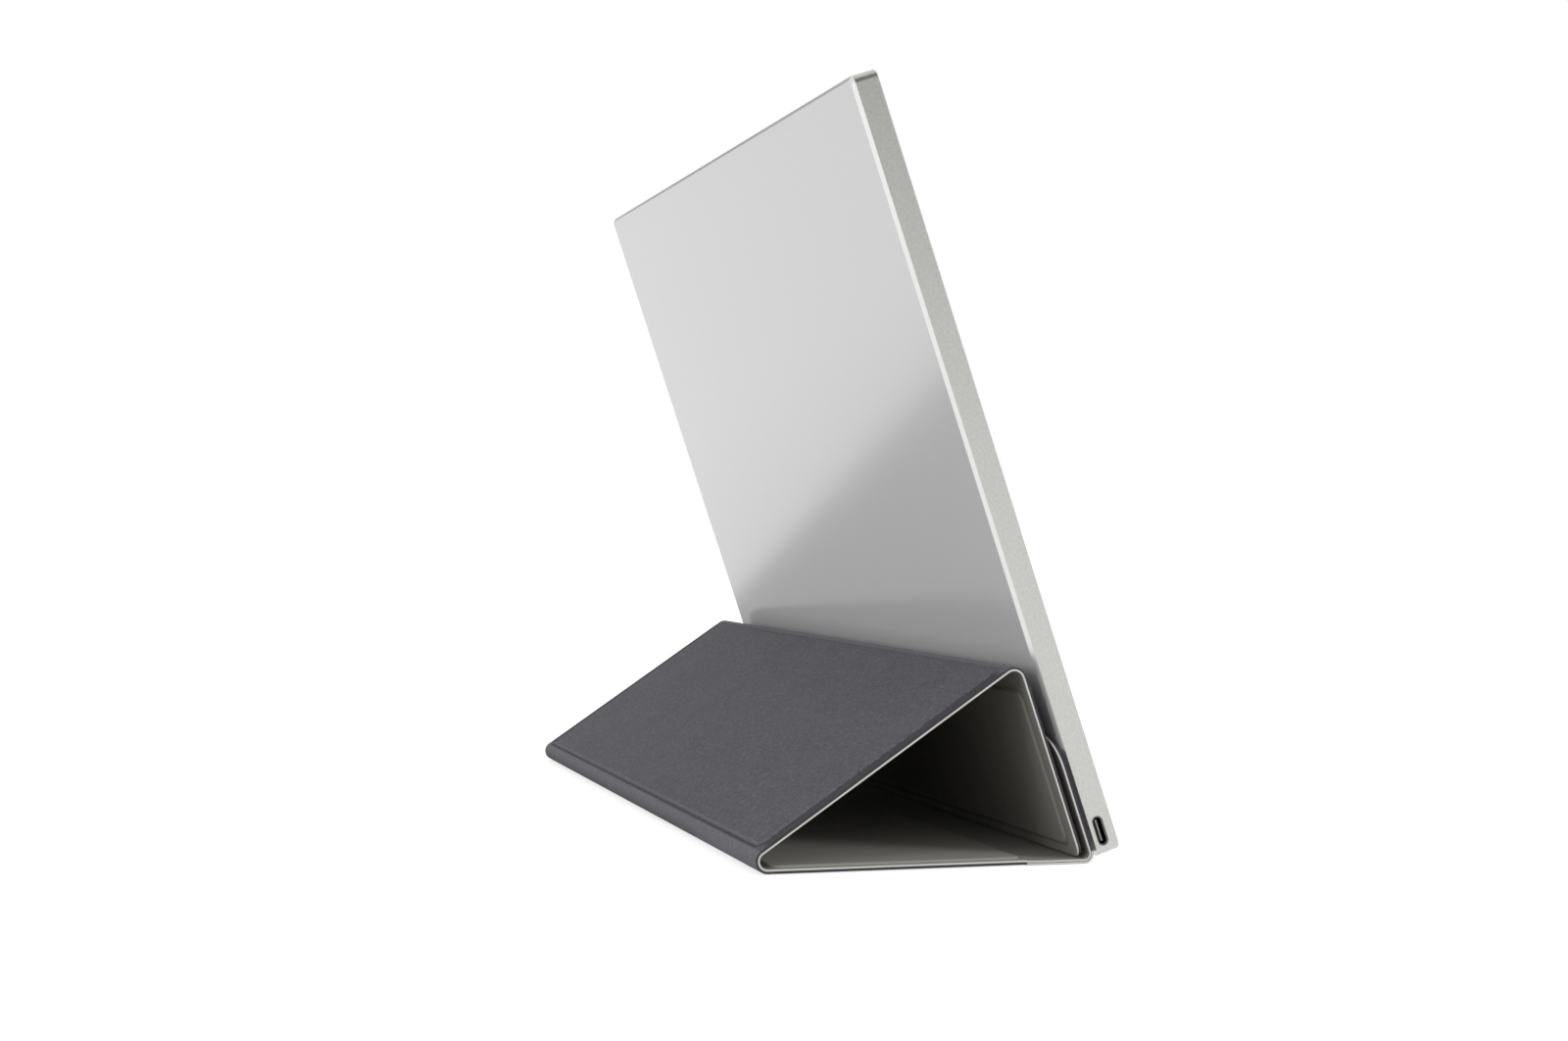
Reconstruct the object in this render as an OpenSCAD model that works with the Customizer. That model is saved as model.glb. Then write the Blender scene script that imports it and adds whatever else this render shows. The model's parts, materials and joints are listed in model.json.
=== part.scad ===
// Portable monitor standing on its folded cover, in millimetres.
// The cover is one strip of two skins: a flap on the monitor's back, a spine and a panel on
// the floor, a slanted panel, and an inner panel tucked down behind the monitor.
// X runs along the width, the screen faces -Y, the stand is on the +Y side, the floor is Z = 0.

/* [Monitor] */
// Width of the monitor
screen_w = 360; // [340:1:380]
// Height of the monitor, along its own face
screen_h = 242; // [225:1:260]
// Thickness of the monitor
screen_t = 8.5; // [8.5:0.1:10]
// Lean of the monitor from the vertical, in degrees
lean = 18.4; // [15:0.1:24]
// Radius of the monitor's four corners
corner_r = 2.5; // [2:0.5:8]
// Polished bevel round the back edge
bevel = 1.1; // [0.6:0.1:1.5]
// Small bevel round the front rim
rim_bevel = 0.3; // [0.2:0.05:0.5]
// Thickness of the housing's back
back_t = 0.9; // [0.7:0.1:1]
// Thickness of the housing's side walls
wall = 1.2; // [1:0.1:1.6]
// Height of the monitor's lower back edge over the floor
rest_gap = 1.3; // [1.2:0.1:2]

/* [Display] */
// Thickness of the cover glass
glass_t = 0.6; // [0.5:0.05:0.8]
// Thickness of the tape that holds the glass
tape_t = 0.15; // [0.1:0.05:0.2]
// Thickness of the liquid crystal panel
panel_t = 0.9; // [0.7:0.05:1]
// Thickness of the optical films
films_t = 0.25; // [0.2:0.05:0.3]
// Thickness of the light guide
guide_t = 0.5; // [0.4:0.05:0.6]
// Thickness of the reflector sheet
reflector_t = 0.15; // [0.1:0.05:0.2]
// Thickness of the backlight tray
tray_t = 0.25; // [0.2:0.05:0.3]
// Width of the frame bar at the sides and the top
frame_bar = 3.8; // [3.4:0.1:5]
// Width of the frame bar at the bottom
frame_foot = 10.6; // [8:0.1:12]
// Width of the tape
tape_w = 2.4; // [1.5:0.1:3]
// Gap between the frame and what it holds or sits in
frame_gap = 0.15; // [0.1:0.05:0.3]
// Number of lamps on the backlight strip
lamp_count = 36; // [20:1:48]

/* [Electronics] */
// Height of the circuit boards' undersides over the housing's back wall
board_lift = 0.55; // [0.5:0.05:0.6]
// Thickness of the circuit boards
board_t = 0.8; // [0.6:0.1:0.85]
// Length of the main board along the width
main_len = 100; // [80:1:110]
// Height of the main board
main_h = 45; // [40:1:60]
// Length of the side board along the width
side_len = 26; // [20:1:40]
// Height of the side board
side_h = 72; // [70:1:80]
// Height of the port's middle over the monitor's lower edge
port_s = 7.2; // [6.5:0.1:9]
// Depth of the ports' and buttons' middle from the back face
port_t = 3.95; // [3.9:0.05:4]
// Outer length of the port's shell
port_len = 8.94; // [8.5:0.01:9.2]
// Outer width of the port's shell
port_wid = 3.16; // [3:0.01:3.2]
// Wall of the port's shell
port_wall = 0.3; // [0.2:0.05:0.4]
// Depth of the port
port_deep = 7.3; // [6.5:0.1:8]
// Clearance round the port in the housing wall
port_gap = 0.12; // [0.08:0.01:0.2]
// Length of a speaker
speaker_len = 50; // [40:1:60]
// Height of a speaker
speaker_h = 13; // [10:1:15]
// Thickness of a speaker
speaker_t = 3.4; // [3:0.1:3.8]
// Number of sound slots for each speaker
slot_count = 12; // [6:1:16]
// Width of a sound slot
slot_w = 1.2; // [0.8:0.1:1.6]
// Radius of the thread of the board screws
screw_r = 0.75; // [0.6:0.05:0.9]
// Radius of the heads of the board screws
screw_head_r = 1.5; // [1.3:0.1:1.8]

/* [Buttons] */
// Length of the power button
power_len = 9; // [7:0.5:11]
// Length of the menu rocker
rocker_len = 16; // [12:0.5:18]
// Width of both buttons
button_wid = 2.4; // [2:0.1:2.6]
// How far the buttons stand proud of the side
button_proud = 0.5; // [0.3:0.1:0.8]
// Clearance round the buttons in the wall
button_gap = 0.2; // [0.15:0.05:0.3]
// Width of the lip that keeps a button in
button_lip = 0.4; // [0.3:0.05:0.5]
// Thickness of the lip
lip_t = 0.7; // [0.5:0.1:0.8]
// Travel of the power button
power_travel = 0.6; // [0.4:0.1:0.7]
// Height of the power button's middle over the lower edge
power_s = 26; // [24:0.5:30]
// Height of the menu rocker's middle over the lower edge
rocker_s = 50; // [48:0.5:56]
// Tilt of the menu rocker each way, in degrees
rocker_tilt = 2.5; // [1:0.5:3]

/* [Cover] */
// How far the cover stands out past the monitor at each side
cover_over = 1.8; // [1:0.1:3]
// Thickness of the outer leather
leather_t = 0.7; // [0.5:0.05:0.9]
// Thickness of the inner lining
lining_t = 0.7; // [0.5:0.05:0.9]
// How far the board pushes the leather out
emboss_out = 0.3; // [0.2:0.05:0.5]
// How far the board pushes the lining in
emboss_in = 0.7; // [0.5:0.05:0.9]
// Margin from the side edges to the embossed field
side_margin = 5.5; // [4:0.5:9]
// Margin from the floor panel's side edges to its embossed field
floor_margin = 1.5; // [1:0.5:9]
// Margin from a fold to the embossed field
fold_margin = 1; // [0.8:0.1:3]
// Radius of the embossed field's corners
emboss_r = 3.5; // [2.5:0.5:6]
// Skin round the board at the step of the field
step_skin = 0.8; // [0.5:0.1:1.2]

/* [Stand] */
// Slope of the slanted panel over the floor, in degrees
slant = 34.3; // [30:0.1:38]
// Straight length of the slanted panel
slant_len = 90.5; // [80:0.5:110]
// Length of the spine between the monitor and the floor board
spine_len = 18; // [14:0.5:24]
// Height of the flap over its fold
flap_h = 36; // [30:0.5:44]
// Radius of the flap's free corners
flap_r = 10; // [6:0.5:12]
// Radius of the inner panel's free corners
tip_r = 4; // [2:0.5:6]
// Radius of the fold between the flap and the spine
base_fold_r = 2.2; // [1.8:0.1:2.8]
// Radius of the rear fold
rear_fold_r = 3; // [2.5:0.1:4]
// Radius of the ridge fold
ridge_fold_r = 3.5; // [3:0.1:4.5]
// Gap between the monitor's back and the flap
flap_gap = 0.3; // [0.2:0.05:0.5]
// Gap between the flap and the inner panel
panel_gap = 0.95; // [0.8:0.05:1.5]
// Height of the inner panel's tip over the spine
tip_gap = 0.4; // [0.3:0.05:0.8]
// Margin from the ridge to the inner panel's embossed field
ridge_margin = 4.5; // [3:0.5:8]
// Margin from the tip to the inner panel's embossed field
tip_margin = 3.5; // [3:0.5:6]
// Margin from the flap's free edge to its embossed field
flap_margin = 4; // [3:0.5:6]

/* [Magnets] */
// Number of magnets in the flap
flap_magnet_count = 10; // [6:1:12]
// Length of a flap magnet
flap_magnet_len = 22; // [15:1:24]
// Height of a flap magnet
flap_magnet_h = 12; // [8:1:14]
// Number of magnets in the inner panel
inner_magnet_count = 6; // [4:1:8]
// Length of an inner magnet
inner_magnet_len = 20; // [14:1:24]
// Height of an inner magnet
inner_magnet_h = 10; // [8:1:12]
// Thickness of the magnets
magnet_t = 0.9; // [0.7:0.05:0.95]
// Clearance round a magnet in its window
magnet_gap = 0.2; // [0.1:0.05:0.4]
// Thickness of the steel keeper behind the housing's back
keeper_t = 0.4; // [0.3:0.05:0.45]
// Height of the steel keeper
keeper_h = 12; // [10:1:14]

/* [Hidden] */
$fn = 64;
eps = 0.5;

// Points and directions in the side view are [y, z]; turns are counter-clockwise.
function dir(a) = [cos(a), sin(a)];
function left_of(a) = [-sin(a), cos(a)];
function on_back(s, d) = [s * sin(lean) + d * cos(lean), rest_gap + s * cos(lean) - d * sin(lean)];

// Courses of the bond between the two skins, as angles of their direction
down_course = -90 - lean;
slant_course = 180 - slant;
base_turn = -down_course;
rear_turn = slant_course;
ridge_turn = 360 + down_course - slant_course;

// Levels of the bond
floor_bond = leather_t + emboss_out;
spine_bond = leather_t;
flap_bond = flap_gap + emboss_out + leather_t;
inner_bond = flap_bond + lining_t + emboss_in + panel_gap + emboss_out + leather_t;

// The fold between the flap and the spine
base_z = spine_bond + base_fold_r;
base_y = (flap_bond + base_fold_r + (base_z - rest_gap) * sin(lean)) / cos(lean);
base_s = base_y * sin(lean) + (base_z - rest_gap) * cos(lean);

// The rear and ridge folds: the slant length and angles fix how far apart they are, and the
// inner panel's line fixes how far back they stand
rear_z = floor_bond + rear_fold_r;
ridge_step = (rear_fold_r - ridge_fold_r) * [sin(slant), cos(slant)] + slant_len * dir(slant_course);
ridge_z = rear_z + ridge_step[1];
ridge_y = (inner_bond + ridge_fold_r + (ridge_z - rest_gap) * sin(lean)) / cos(lean);
rear_y = ridge_y - ridge_step[0];
ridge_s = ridge_y * sin(lean) + (ridge_z - rest_gap) * cos(lean);
floor_len = rear_y - base_y;

// The inner panel ends just over the spine
tip_s = (spine_bond + lining_t + tip_gap - rest_gap + (inner_bond + lining_t) * sin(lean)) / cos(lean);
inner_len = ridge_s - tip_s;

// The origin is under the middle of the whole, on the floor
y_min = -screen_t * cos(lean) + rim_bevel * sin(lean);
y_max = rear_y + rear_fold_r + leather_t;
y_mid = (y_min + y_max) / 2;

// Depths in the monitor, from the back face
glass_at = screen_t - glass_t;
tape_at = glass_at - tape_t;
panel_at = tape_at - panel_t;
films_at = panel_at - films_t;
guide_at = films_at - guide_t;
reflector_at = guide_at - reflector_t;
tray_at = reflector_at - tray_t;
board_at = back_t + board_lift;
parts_at = board_at + board_t;

// The display stack inside the frame
cavity_w = screen_w - 2 * wall;
window_w = cavity_w - 2 * frame_bar;
window_lo = wall + frame_foot;
window_hi = screen_h - wall - frame_bar;
stack_w = window_w - 2 * frame_gap;
stack_lo = window_lo + frame_gap;
stack_hi = window_hi - frame_gap;
lamp_h = 1.2;

// Boards, speakers and posts
board_edge = 1.6;
board_x = screen_w / 2 - wall - board_edge;
board_lo = wall + board_edge;
screw_inset = 4;
hole_gap = 0.15;
thread_gap = 0.05;
screw_head_t = 0.5;
boss_r = screw_r + 1.3;
thread_floor = 0.45;
speaker_x = 16;
speaker_lo = wall + 1.8;
speaker_lift = 0.1;
slot_pitch = speaker_len / (slot_count + 1);
post_r = 1.5;
post_edge = frame_bar / 2;
side_posts = [for (i = [0:3]) screen_h * (0.34 + 0.19 * i)];
top_posts = [for (i = [-2:2]) i * screen_w * 0.2];
foot_post_gap = 3.5;
foot_post_x = speaker_x + speaker_len + foot_post_gap;
driver_len = 110;
driver_h = 9;
driver_t = 0.6;
driver_s = 19;
driver_gap = 0.1;
driver_at = tray_at - driver_gap - driver_t;
keeper_s = 19;
keeper_inset = 12;
keeper_w = cavity_w - 2 * keeper_inset;

// Chips and coils on the boards, as [length, height, thickness]. The main board's three chips
// and six coils share the length between their start and the connectors.
chip = [12, 11, 1.3];
chip_at = [20, 22];
chip_gap = 4;
coil = [5, 5, 1.8];
coil_at = [18, 8];
coil_end = 17;
driver_chip = [8, 6, 0.9];
driver_chip_pitch = 22;
driver_chip_at = 1;
switch_len = 4;
switch_t = 2.4;
power_switch_h = 6;
rocker_switch_h = 5;

// Flat cables and their connectors: each cable's end lies on its connector
cable_t = 0.25;
cable_w = 8;
cable_s = 32;
cable_edge = 0.5;
cable_grip = 1;
plug_len = 6;
plug_inset = 2;
plug_t = 0.9;
driver_plug_t = 0.8;
display_plug_len = 8;
display_plug_inset = 8;
chip_pitch = (main_len - display_plug_inset - display_plug_len - chip_gap - chip[0] - chip_at[0]) / 2;
coil_pitch = (main_len - coil_end - coil[0] - coil_at[0]) / 5;
main_end = -board_x + main_len;
side_end = board_x - side_len;
driver_end = -driver_len / 2;

// Buttons
wall_in = screen_w / 2 - wall;
button_face = screen_w / 2 + button_proud;
rocker_rest = 0.45;
power_rest = 0.1;
switch_gap = 0.15;

// Cover boards and fields, as [start, end, margin at the sides]
cover_w = screen_w + 2 * cover_over;
board_w = cover_w - 2 * side_margin - 2 * step_skin;
board_r = emboss_r - step_skin;
pocket_gap = 0.1;
floor_field = [spine_len + fold_margin, floor_len - fold_margin, floor_margin];
slant_field = [fold_margin, slant_len - fold_margin, side_margin];
inner_field = [ridge_margin, inner_len - tip_margin, side_margin];
flap_field = [flap_margin, flap_h - fold_margin, side_margin];
flap_magnet_u = flap_h / 2 + 1;
inner_magnet_u = inner_len - 18;

// The hinge lines of the cover, as [y, z] from the origin, and the turn of the inner panel
// for each degree of the slanted panel: it lies flat on it when the stand is folded back
rear_reach = rear_fold_r * rear_turn * PI / 360 / sin(rear_turn / 2);
rear_axis = [rear_y - y_mid, rear_z] + rear_reach * dir(rear_turn / 2 - 90);
ridge_flat = ridge_fold_r * ridge_turn * PI / 180 / PI;
ridge_reach = (ridge_fold_r - ridge_flat) / cos(ridge_turn / 2);
ridge_mid = (slant_course + 360 + down_course) / 2 - 90;
ridge_axis = [ridge_y - y_mid, ridge_z] + ridge_reach * dir(ridge_mid);
base_axis = [base_y - y_mid, base_z];
echo(rear_axis = rear_axis, ridge_axis = ridge_axis, base_axis = base_axis, ridge_turn = ridge_turn);

// The middle of the menu rocker's rocking axis, of a port's mouth and of the floor board
function in_row(x, s, d) = [x, on_back(s, d)[0] - y_mid, on_back(s, d)[1]];
echo(rocker_axis = in_row(wall_in + wall / 2, rocker_s, -port_t));
echo(port_place = in_row(screen_w / 2, port_s, -port_t));
echo(floor_middle = [base_y - y_mid + (floor_field[0] + floor_field[1]) / 2, 0]);

// Flat outlines

module rounded(w, h, r) {
    square([w - 2 * r, h], center = true);
    square([w, h - 2 * r], center = true);
    for (x = [-1, 1], y = [-1, 1])
        translate([x * (w / 2 - r), y * (h / 2 - r)]) circle(r);
}

module span(w, lo, hi, r) {
    translate([0, (lo + hi) / 2]) rounded(w, hi - lo, r);
}

module stadium(len, wid) {
    square([len - wid, wid], center = true);
    for (x = [-1, 1])
        translate([x * (len - wid) / 2, 0]) circle(wid / 2);
}

// A sheet from 0 to len with round corners of radius r at its far end
module round_ended(w, len, r) {
    translate([-w / 2, 0]) square([w, len - r]);
    translate([-w / 2 + r, 0]) square([w - 2 * r, len]);
    for (x = [-1, 1])
        translate([x * (w / 2 - r), len - r]) circle(r);
}

// An outline of the side view, drawn out along the width
module along_x(w) {
    rotate([90, 0, 90]) linear_extrude(w, center = true) children();
}

// The monitor's own frame: x along the width, z up its face, depths from the back towards -y

module in_monitor() {
    translate([0, -y_mid, rest_gap]) rotate([-lean, 0, 0]) children();
}

module layer(t0, t1) {
    translate([0, -t0, 0]) rotate([90, 0, 0]) linear_extrude(t1 - t0) children();
}

module block(x0, x1, s0, s1, t0, t1) {
    translate([x0, -t1, s0]) cube([x1 - x0, t1 - t0, s1 - s0]);
}

module peg(x, s, t0, t1, r) {
    translate([x, -t0, s]) rotate([90, 0, 0]) cylinder(h = t1 - t0, r = r);
}

// A stadium along the face, drawn out along the width from x0 to x1
module side_slot(len, wid, s, x0, x1) {
    translate([x0, -port_t, s]) rotate([0, 90, 0]) linear_extrude(x1 - x0) stadium(len, wid);
}

// A slice of the housing whose outline is inset by in0 at depth t0 and by in1 at depth t1
module bevelled(t0, t1, in0, in1) {
    half = screen_w / 2;
    translate([0, 0, corner_r]) linear_extrude(screen_h - 2 * corner_r)
        polygon([[in0 - half, -t0], [half - in0, -t0], [half - in1, -t1], [in1 - half, -t1]]);
    along_x(screen_w - 2 * corner_r)
        polygon([[-t0, in0], [-t0, screen_h - in0], [-t1, screen_h - in1], [-t1, in1]]);
    for (x = [-1, 1], s = [corner_r, screen_h - corner_r])
        translate([x * (half - corner_r), -t0, s]) rotate([90, 0, 0])
            cylinder(h = t1 - t0, r1 = corner_r - in0, r2 = corner_r - in1);
}

// Places of the screws on a board that starts at x0 and ends at x1
function screw_places(x0, x1, top) = [
    for (x = [x0 + screw_inset, x1 - screw_inset], s = [board_lo + screw_inset + 10, top - screw_inset]) [x, s]
];
all_screws = concat(
    screw_places(-board_x, -board_x + main_len, board_lo + main_h),
    screw_places(board_x - side_len, board_x, board_lo + side_h)
);

module sound_slots(side) {
    for (i = [1:slot_count])
        translate([side * (speaker_x + i * slot_pitch), -port_t, 0])
            linear_extrude(wall + 2 * eps, center = true) stadium(2 * slot_w, slot_w);
}

module rear_housing() {
    color("silver") in_monitor() difference() {
        union() {
            difference() {
                union() {
                    bevelled(0, bevel, bevel, 0);
                    layer(bevel, screen_t - rim_bevel) span(screen_w, 0, screen_h, corner_r);
                    bevelled(screen_t - rim_bevel, screen_t, 0, rim_bevel);
                }
                layer(back_t, screen_t + eps) span(cavity_w, wall, screen_h - wall, corner_r - wall);
            }
            for (p = all_screws)
                peg(p[0], p[1], back_t, board_at, boss_r);
            for (x = [-1, 1], s = side_posts)
                peg(x * (cavity_w / 2 - post_edge), s, back_t, tray_at, post_r);
            for (x = top_posts)
                peg(x, screen_h - wall - post_edge, back_t, tray_at, post_r);
            for (x = [-1, 0, 1])
                peg(x * foot_post_x, wall + post_edge, back_t, tray_at, post_r);
        }
        for (p = all_screws)
            peg(p[0], p[1], thread_floor, board_at + eps, screw_r + thread_gap);
        for (x = [-1, 1])
            side_slot(port_len + 2 * port_gap, port_wid + 2 * port_gap, port_s,
                x * (wall_in + wall / 2) - wall, x * (wall_in + wall / 2) + wall);
        side_slot(power_len + 2 * button_gap, button_wid + 2 * button_gap, power_s,
            wall_in - eps, wall_in + wall + eps);
        side_slot(rocker_len + 2 * button_gap, button_wid + 2 * button_gap, rocker_s,
            wall_in - eps, wall_in + wall + eps);
        translate([0, 0, wall / 2]) {
            sound_slots(-1);
            sound_slots(1);
        }
    }
}

// The display, from the front backwards

module cover_glass() {
    color([0.05, 0.05, 0.06]) in_monitor() layer(glass_at, screen_t)
        span(cavity_w - 2 * frame_gap, wall + frame_gap, screen_h - wall - frame_gap, corner_r - wall);
}

module glass_tape() {
    color("dimgray") in_monitor() layer(tape_at, glass_at) difference() {
        span(cavity_w - 2 * frame_gap, wall + frame_gap, screen_h - wall - frame_gap, corner_r - wall);
        span(cavity_w - 2 * tape_w, wall + tape_w, screen_h - wall - tape_w, 1);
    }
}

module panel_frame() {
    color([0.15, 0.15, 0.16]) in_monitor() layer(tray_at, tape_at) difference() {
        span(cavity_w - 2 * frame_gap, wall + frame_gap, screen_h - wall - frame_gap, corner_r - wall);
        span(window_w, window_lo, window_hi, 1);
    }
}

module display_panel() {
    color([0.12, 0.13, 0.16]) in_monitor() layer(panel_at, tape_at)
        span(stack_w, stack_lo, stack_hi, 0.5);
}

module optical_films() {
    color("white") in_monitor() layer(films_at, panel_at) span(stack_w, stack_lo, stack_hi, 0.5);
}

module light_guide() {
    color([0.85, 0.9, 0.95]) in_monitor() layer(guide_at, films_at)
        span(stack_w, stack_lo + lamp_h + frame_gap, stack_hi, 0.5);
}

module lamp_strip() {
    pitch = stack_w / lamp_count;
    color("gold") in_monitor() {
        block(-stack_w / 2, stack_w / 2, stack_lo, stack_lo + lamp_h / 3, guide_at, films_at);
        for (i = [0:lamp_count - 1])
            block(-stack_w / 2 + (i + 0.3) * pitch, -stack_w / 2 + (i + 0.7) * pitch,
                stack_lo + lamp_h / 3, stack_lo + lamp_h, guide_at, films_at);
    }
}

module reflector_sheet() {
    color("white") in_monitor() layer(reflector_at, guide_at) span(stack_w, stack_lo, stack_hi, 0.5);
}

module backlight_tray() {
    color("lightgray") in_monitor() layer(tray_at, reflector_at) span(stack_w, stack_lo, stack_hi, 0.5);
}

// Boards, cables, ports and speakers

module board(x0, x1, top) {
    difference() {
        block(x0, x1, board_lo, top, board_at, board_at + board_t);
        for (p = screw_places(x0, x1, top))
            peg(p[0], p[1], board_at - eps, parts_at + eps, screw_r + hole_gap);
    }
}

// A chip, coil or connector of the given size, from depth t
module on_board(x, s, t, size) {
    block(x, x + size[0], s, s + size[1], t, t + size[2]);
}

module main_board() {
    x0 = -board_x;
    color("darkgreen") in_monitor() {
        board(x0, main_end, board_lo + main_h);
        for (i = [0:2])
            on_board(x0 + chip_at[0] + chip_pitch * i, board_lo + chip_at[1], parts_at, chip);
        for (i = [0:5])
            on_board(x0 + coil_at[0] + coil_pitch * i, board_lo + coil_at[1], parts_at, coil);
        on_board(main_end - display_plug_inset - display_plug_len, driver_s, parts_at,
            [display_plug_len, cable_w, plug_t]);
        on_board(main_end - plug_inset - plug_len, cable_s, parts_at, [plug_len, cable_w, plug_t]);
    }
}

module side_board() {
    inside = wall_in - power_rest - lip_t - power_travel - switch_gap;
    rocked = wall_in - rocker_rest - lip_t - (rocker_len / 2 + button_lip) * sin(rocker_tilt) - switch_gap;
    color("darkgreen") in_monitor() {
        board(side_end, board_x, board_lo + side_h);
        on_board(inside - switch_len, power_s - power_switch_h / 2, parts_at,
            [switch_len, power_switch_h, switch_t]);
        for (i = [-1, 1])
            on_board(rocked - switch_len, rocker_s + i * rocker_len / 3 - rocker_switch_h / 2, parts_at,
                [switch_len, rocker_switch_h, switch_t]);
        on_board(side_end + plug_inset, cable_s, parts_at, [plug_len, cable_w, plug_t]);
    }
}

module side_cable() {
    color("darkorange") in_monitor()
        block(main_end - plug_inset - plug_len + cable_grip, side_end + plug_inset + plug_len - cable_grip,
            cable_s + cable_edge, cable_s + cable_w - cable_edge, parts_at + plug_t, parts_at + plug_t + cable_t);
}

module driver_board() {
    color("darkgreen") in_monitor() {
        block(driver_end, -driver_end, driver_s, driver_s + driver_h, driver_at, driver_at + driver_t);
        on_board(driver_end + plug_inset, driver_s, driver_at - driver_plug_t, [plug_len, cable_w, driver_plug_t]);
        for (i = [-1:2])
            on_board(i * driver_chip_pitch - driver_chip[0] / 2, driver_s + driver_chip_at,
                driver_at - driver_chip[2], driver_chip);
    }
}

module display_cable() {
    low = parts_at + plug_t;
    high = driver_at - driver_plug_t;
    start = main_end - display_plug_inset - display_plug_len + cable_grip;
    rise = main_end - plug_inset;
    top = driver_end + cable_grip;
    end = driver_end + plug_inset + plug_len - cable_grip;
    shift = 0.4 * cable_t;
    color("darkorange") in_monitor() translate([0, 0, driver_s + cable_edge])
        linear_extrude(cable_w - 2 * cable_edge)
            polygon([
                [start, -low], [rise, -low], [top, -high + cable_t], [end, -high + cable_t],
                [end, -high], [top - shift, -high], [rise - shift, -low - cable_t], [start, -low - cable_t]
            ]);
}

module board_screws() {
    color("dimgray") in_monitor() for (p = all_screws) {
        peg(p[0], p[1], thread_floor, parts_at, screw_r);
        peg(p[0], p[1], parts_at, parts_at + screw_head_t, screw_head_r);
    }
}

// A receptacle whose mouth is flush with the side at x = side * screen_w / 2
module usb_c_port(side) {
    mouth = screen_w / 2 - 0.3;
    color("darkgray") in_monitor() mirror([side > 0 ? 0 : 1, 0, 0]) {
        difference() {
            side_slot(port_len, port_wid, port_s, mouth - port_deep, mouth);
            side_slot(port_len - 2 * port_wall, port_wid - 2 * port_wall, port_s,
                mouth - port_deep + 1, mouth + eps);
        }
        block(mouth - port_deep + 1, mouth - 1, port_s - 3.35, port_s + 3.35, port_t - 0.35, port_t + 0.35);
    }
}

module usb_c_port_near() {
    usb_c_port(-1);
}

module usb_c_port_far() {
    usb_c_port(1);
}

module speaker(side) {
    t0 = back_t + speaker_lift;
    a = side * speaker_x;
    b = side * (speaker_x + speaker_len);
    color([0.2, 0.2, 0.2]) in_monitor() difference() {
        block(min(a, b), max(a, b), speaker_lo, speaker_lo + speaker_h, t0, t0 + speaker_t);
        block((a + b) / 2 - 9, (a + b) / 2 + 9, speaker_lo + 2, speaker_lo + speaker_h - 2,
            t0 + speaker_t - 0.4, t0 + speaker_t + eps);
    }
}

module speaker_left() {
    speaker(-1);
}

module speaker_right() {
    speaker(1);
}

module steel_keeper() {
    color("slategray") in_monitor()
        block(-keeper_w / 2, keeper_w / 2, keeper_s, keeper_s + keeper_h, back_t, back_t + keeper_t);
}

// Buttons on the far side

module button(len, s, rest) {
    color("silver") in_monitor() {
        side_slot(len, button_wid, s, wall_in - rest - lip_t, button_face);
        side_slot(len + 2 * button_lip, button_wid + 2 * button_lip, s, wall_in - rest - lip_t, wall_in - rest);
    }
}

module power_button() {
    button(power_len, power_s, power_rest);
}

module menu_rocker() {
    button(rocker_len, rocker_s, rocker_rest);
}

// The cover: each panel is drawn flat, its bond at z = 0, the lining above and the leather below

module placed(y, z, course) {
    translate([0, y - y_mid, z]) rotate([course, 0, 0]) children();
}

module field(f, inset, r) {
    span(cover_w - 2 * (f[2] + inset), f[0] + inset, f[1] - inset, r);
}

module leather_panel(f) {
    color("dimgray") difference() {
        union() {
            translate([0, 0, -leather_t]) linear_extrude(leather_t) children();
            translate([0, 0, -leather_t - emboss_out]) linear_extrude(leather_t) field(f, 0, emboss_r);
        }
        translate([0, 0, -emboss_out]) linear_extrude(emboss_out + eps)
            field(f, step_skin - pocket_gap, board_r + pocket_gap);
    }
}

module lining_panel(f) {
    color("darkgray") difference() {
        union() {
            linear_extrude(lining_t) children();
            translate([0, 0, emboss_in]) linear_extrude(lining_t) field(f, 0, emboss_r);
            linear_extrude(emboss_in + lining_t) field(f, 0, emboss_r);
        }
        translate([0, 0, -eps]) linear_extrude(emboss_in + eps)
            field(f, step_skin - pocket_gap, board_r + pocket_gap);
    }
}

module stiffener(f) {
    color("tan") translate([0, 0, -emboss_out]) linear_extrude(emboss_out + emboss_in) difference() {
        field(f, step_skin, board_r);
        children();
    }
}

module magnet_row(count, len, h, u) {
    pitch = board_w / count;
    for (i = [0:count - 1])
        translate([(i + 0.5) * pitch - board_w / 2, u]) square([len, h], center = true);
}

module magnets(count, len, h, u) {
    color("slategray") translate([0, 0, -emboss_out]) linear_extrude(magnet_t)
        magnet_row(count, len, h, u);
}

// A strip of one skin round a fold whose bond has radius r, from its start course
module fold_strip(y, z, r0, r1, course, turn) {
    reach = 2 * r1;
    translate([0, y - y_mid, z]) along_x(cover_w) rotate(course - 90) difference() {
        intersection() {
            circle(r1);
            polygon(concat([[0, 0]], [for (i = [0:4]) reach * dir(turn * i / 4)]));
        }
        circle(r0);
    }
}

// Flap

module flap_place() {
    top = on_back(base_s + flap_h, flap_bond);
    placed(top[0], top[1], down_course) children();
}

module flap_plan() {
    translate([0, flap_h]) mirror([0, 1]) round_ended(cover_w, flap_h, flap_r);
}

module flap_leather() {
    flap_place() leather_panel(flap_field) flap_plan();
}

module flap_lining() {
    flap_place() lining_panel(flap_field) flap_plan();
}

module flap_board() {
    flap_place() stiffener(flap_field)
        magnet_row(flap_magnet_count, flap_magnet_len + 2 * magnet_gap, flap_magnet_h + 2 * magnet_gap,
            flap_magnet_u);
}

module flap_magnets() {
    flap_place() magnets(flap_magnet_count, flap_magnet_len, flap_magnet_h, flap_magnet_u);
}

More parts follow.
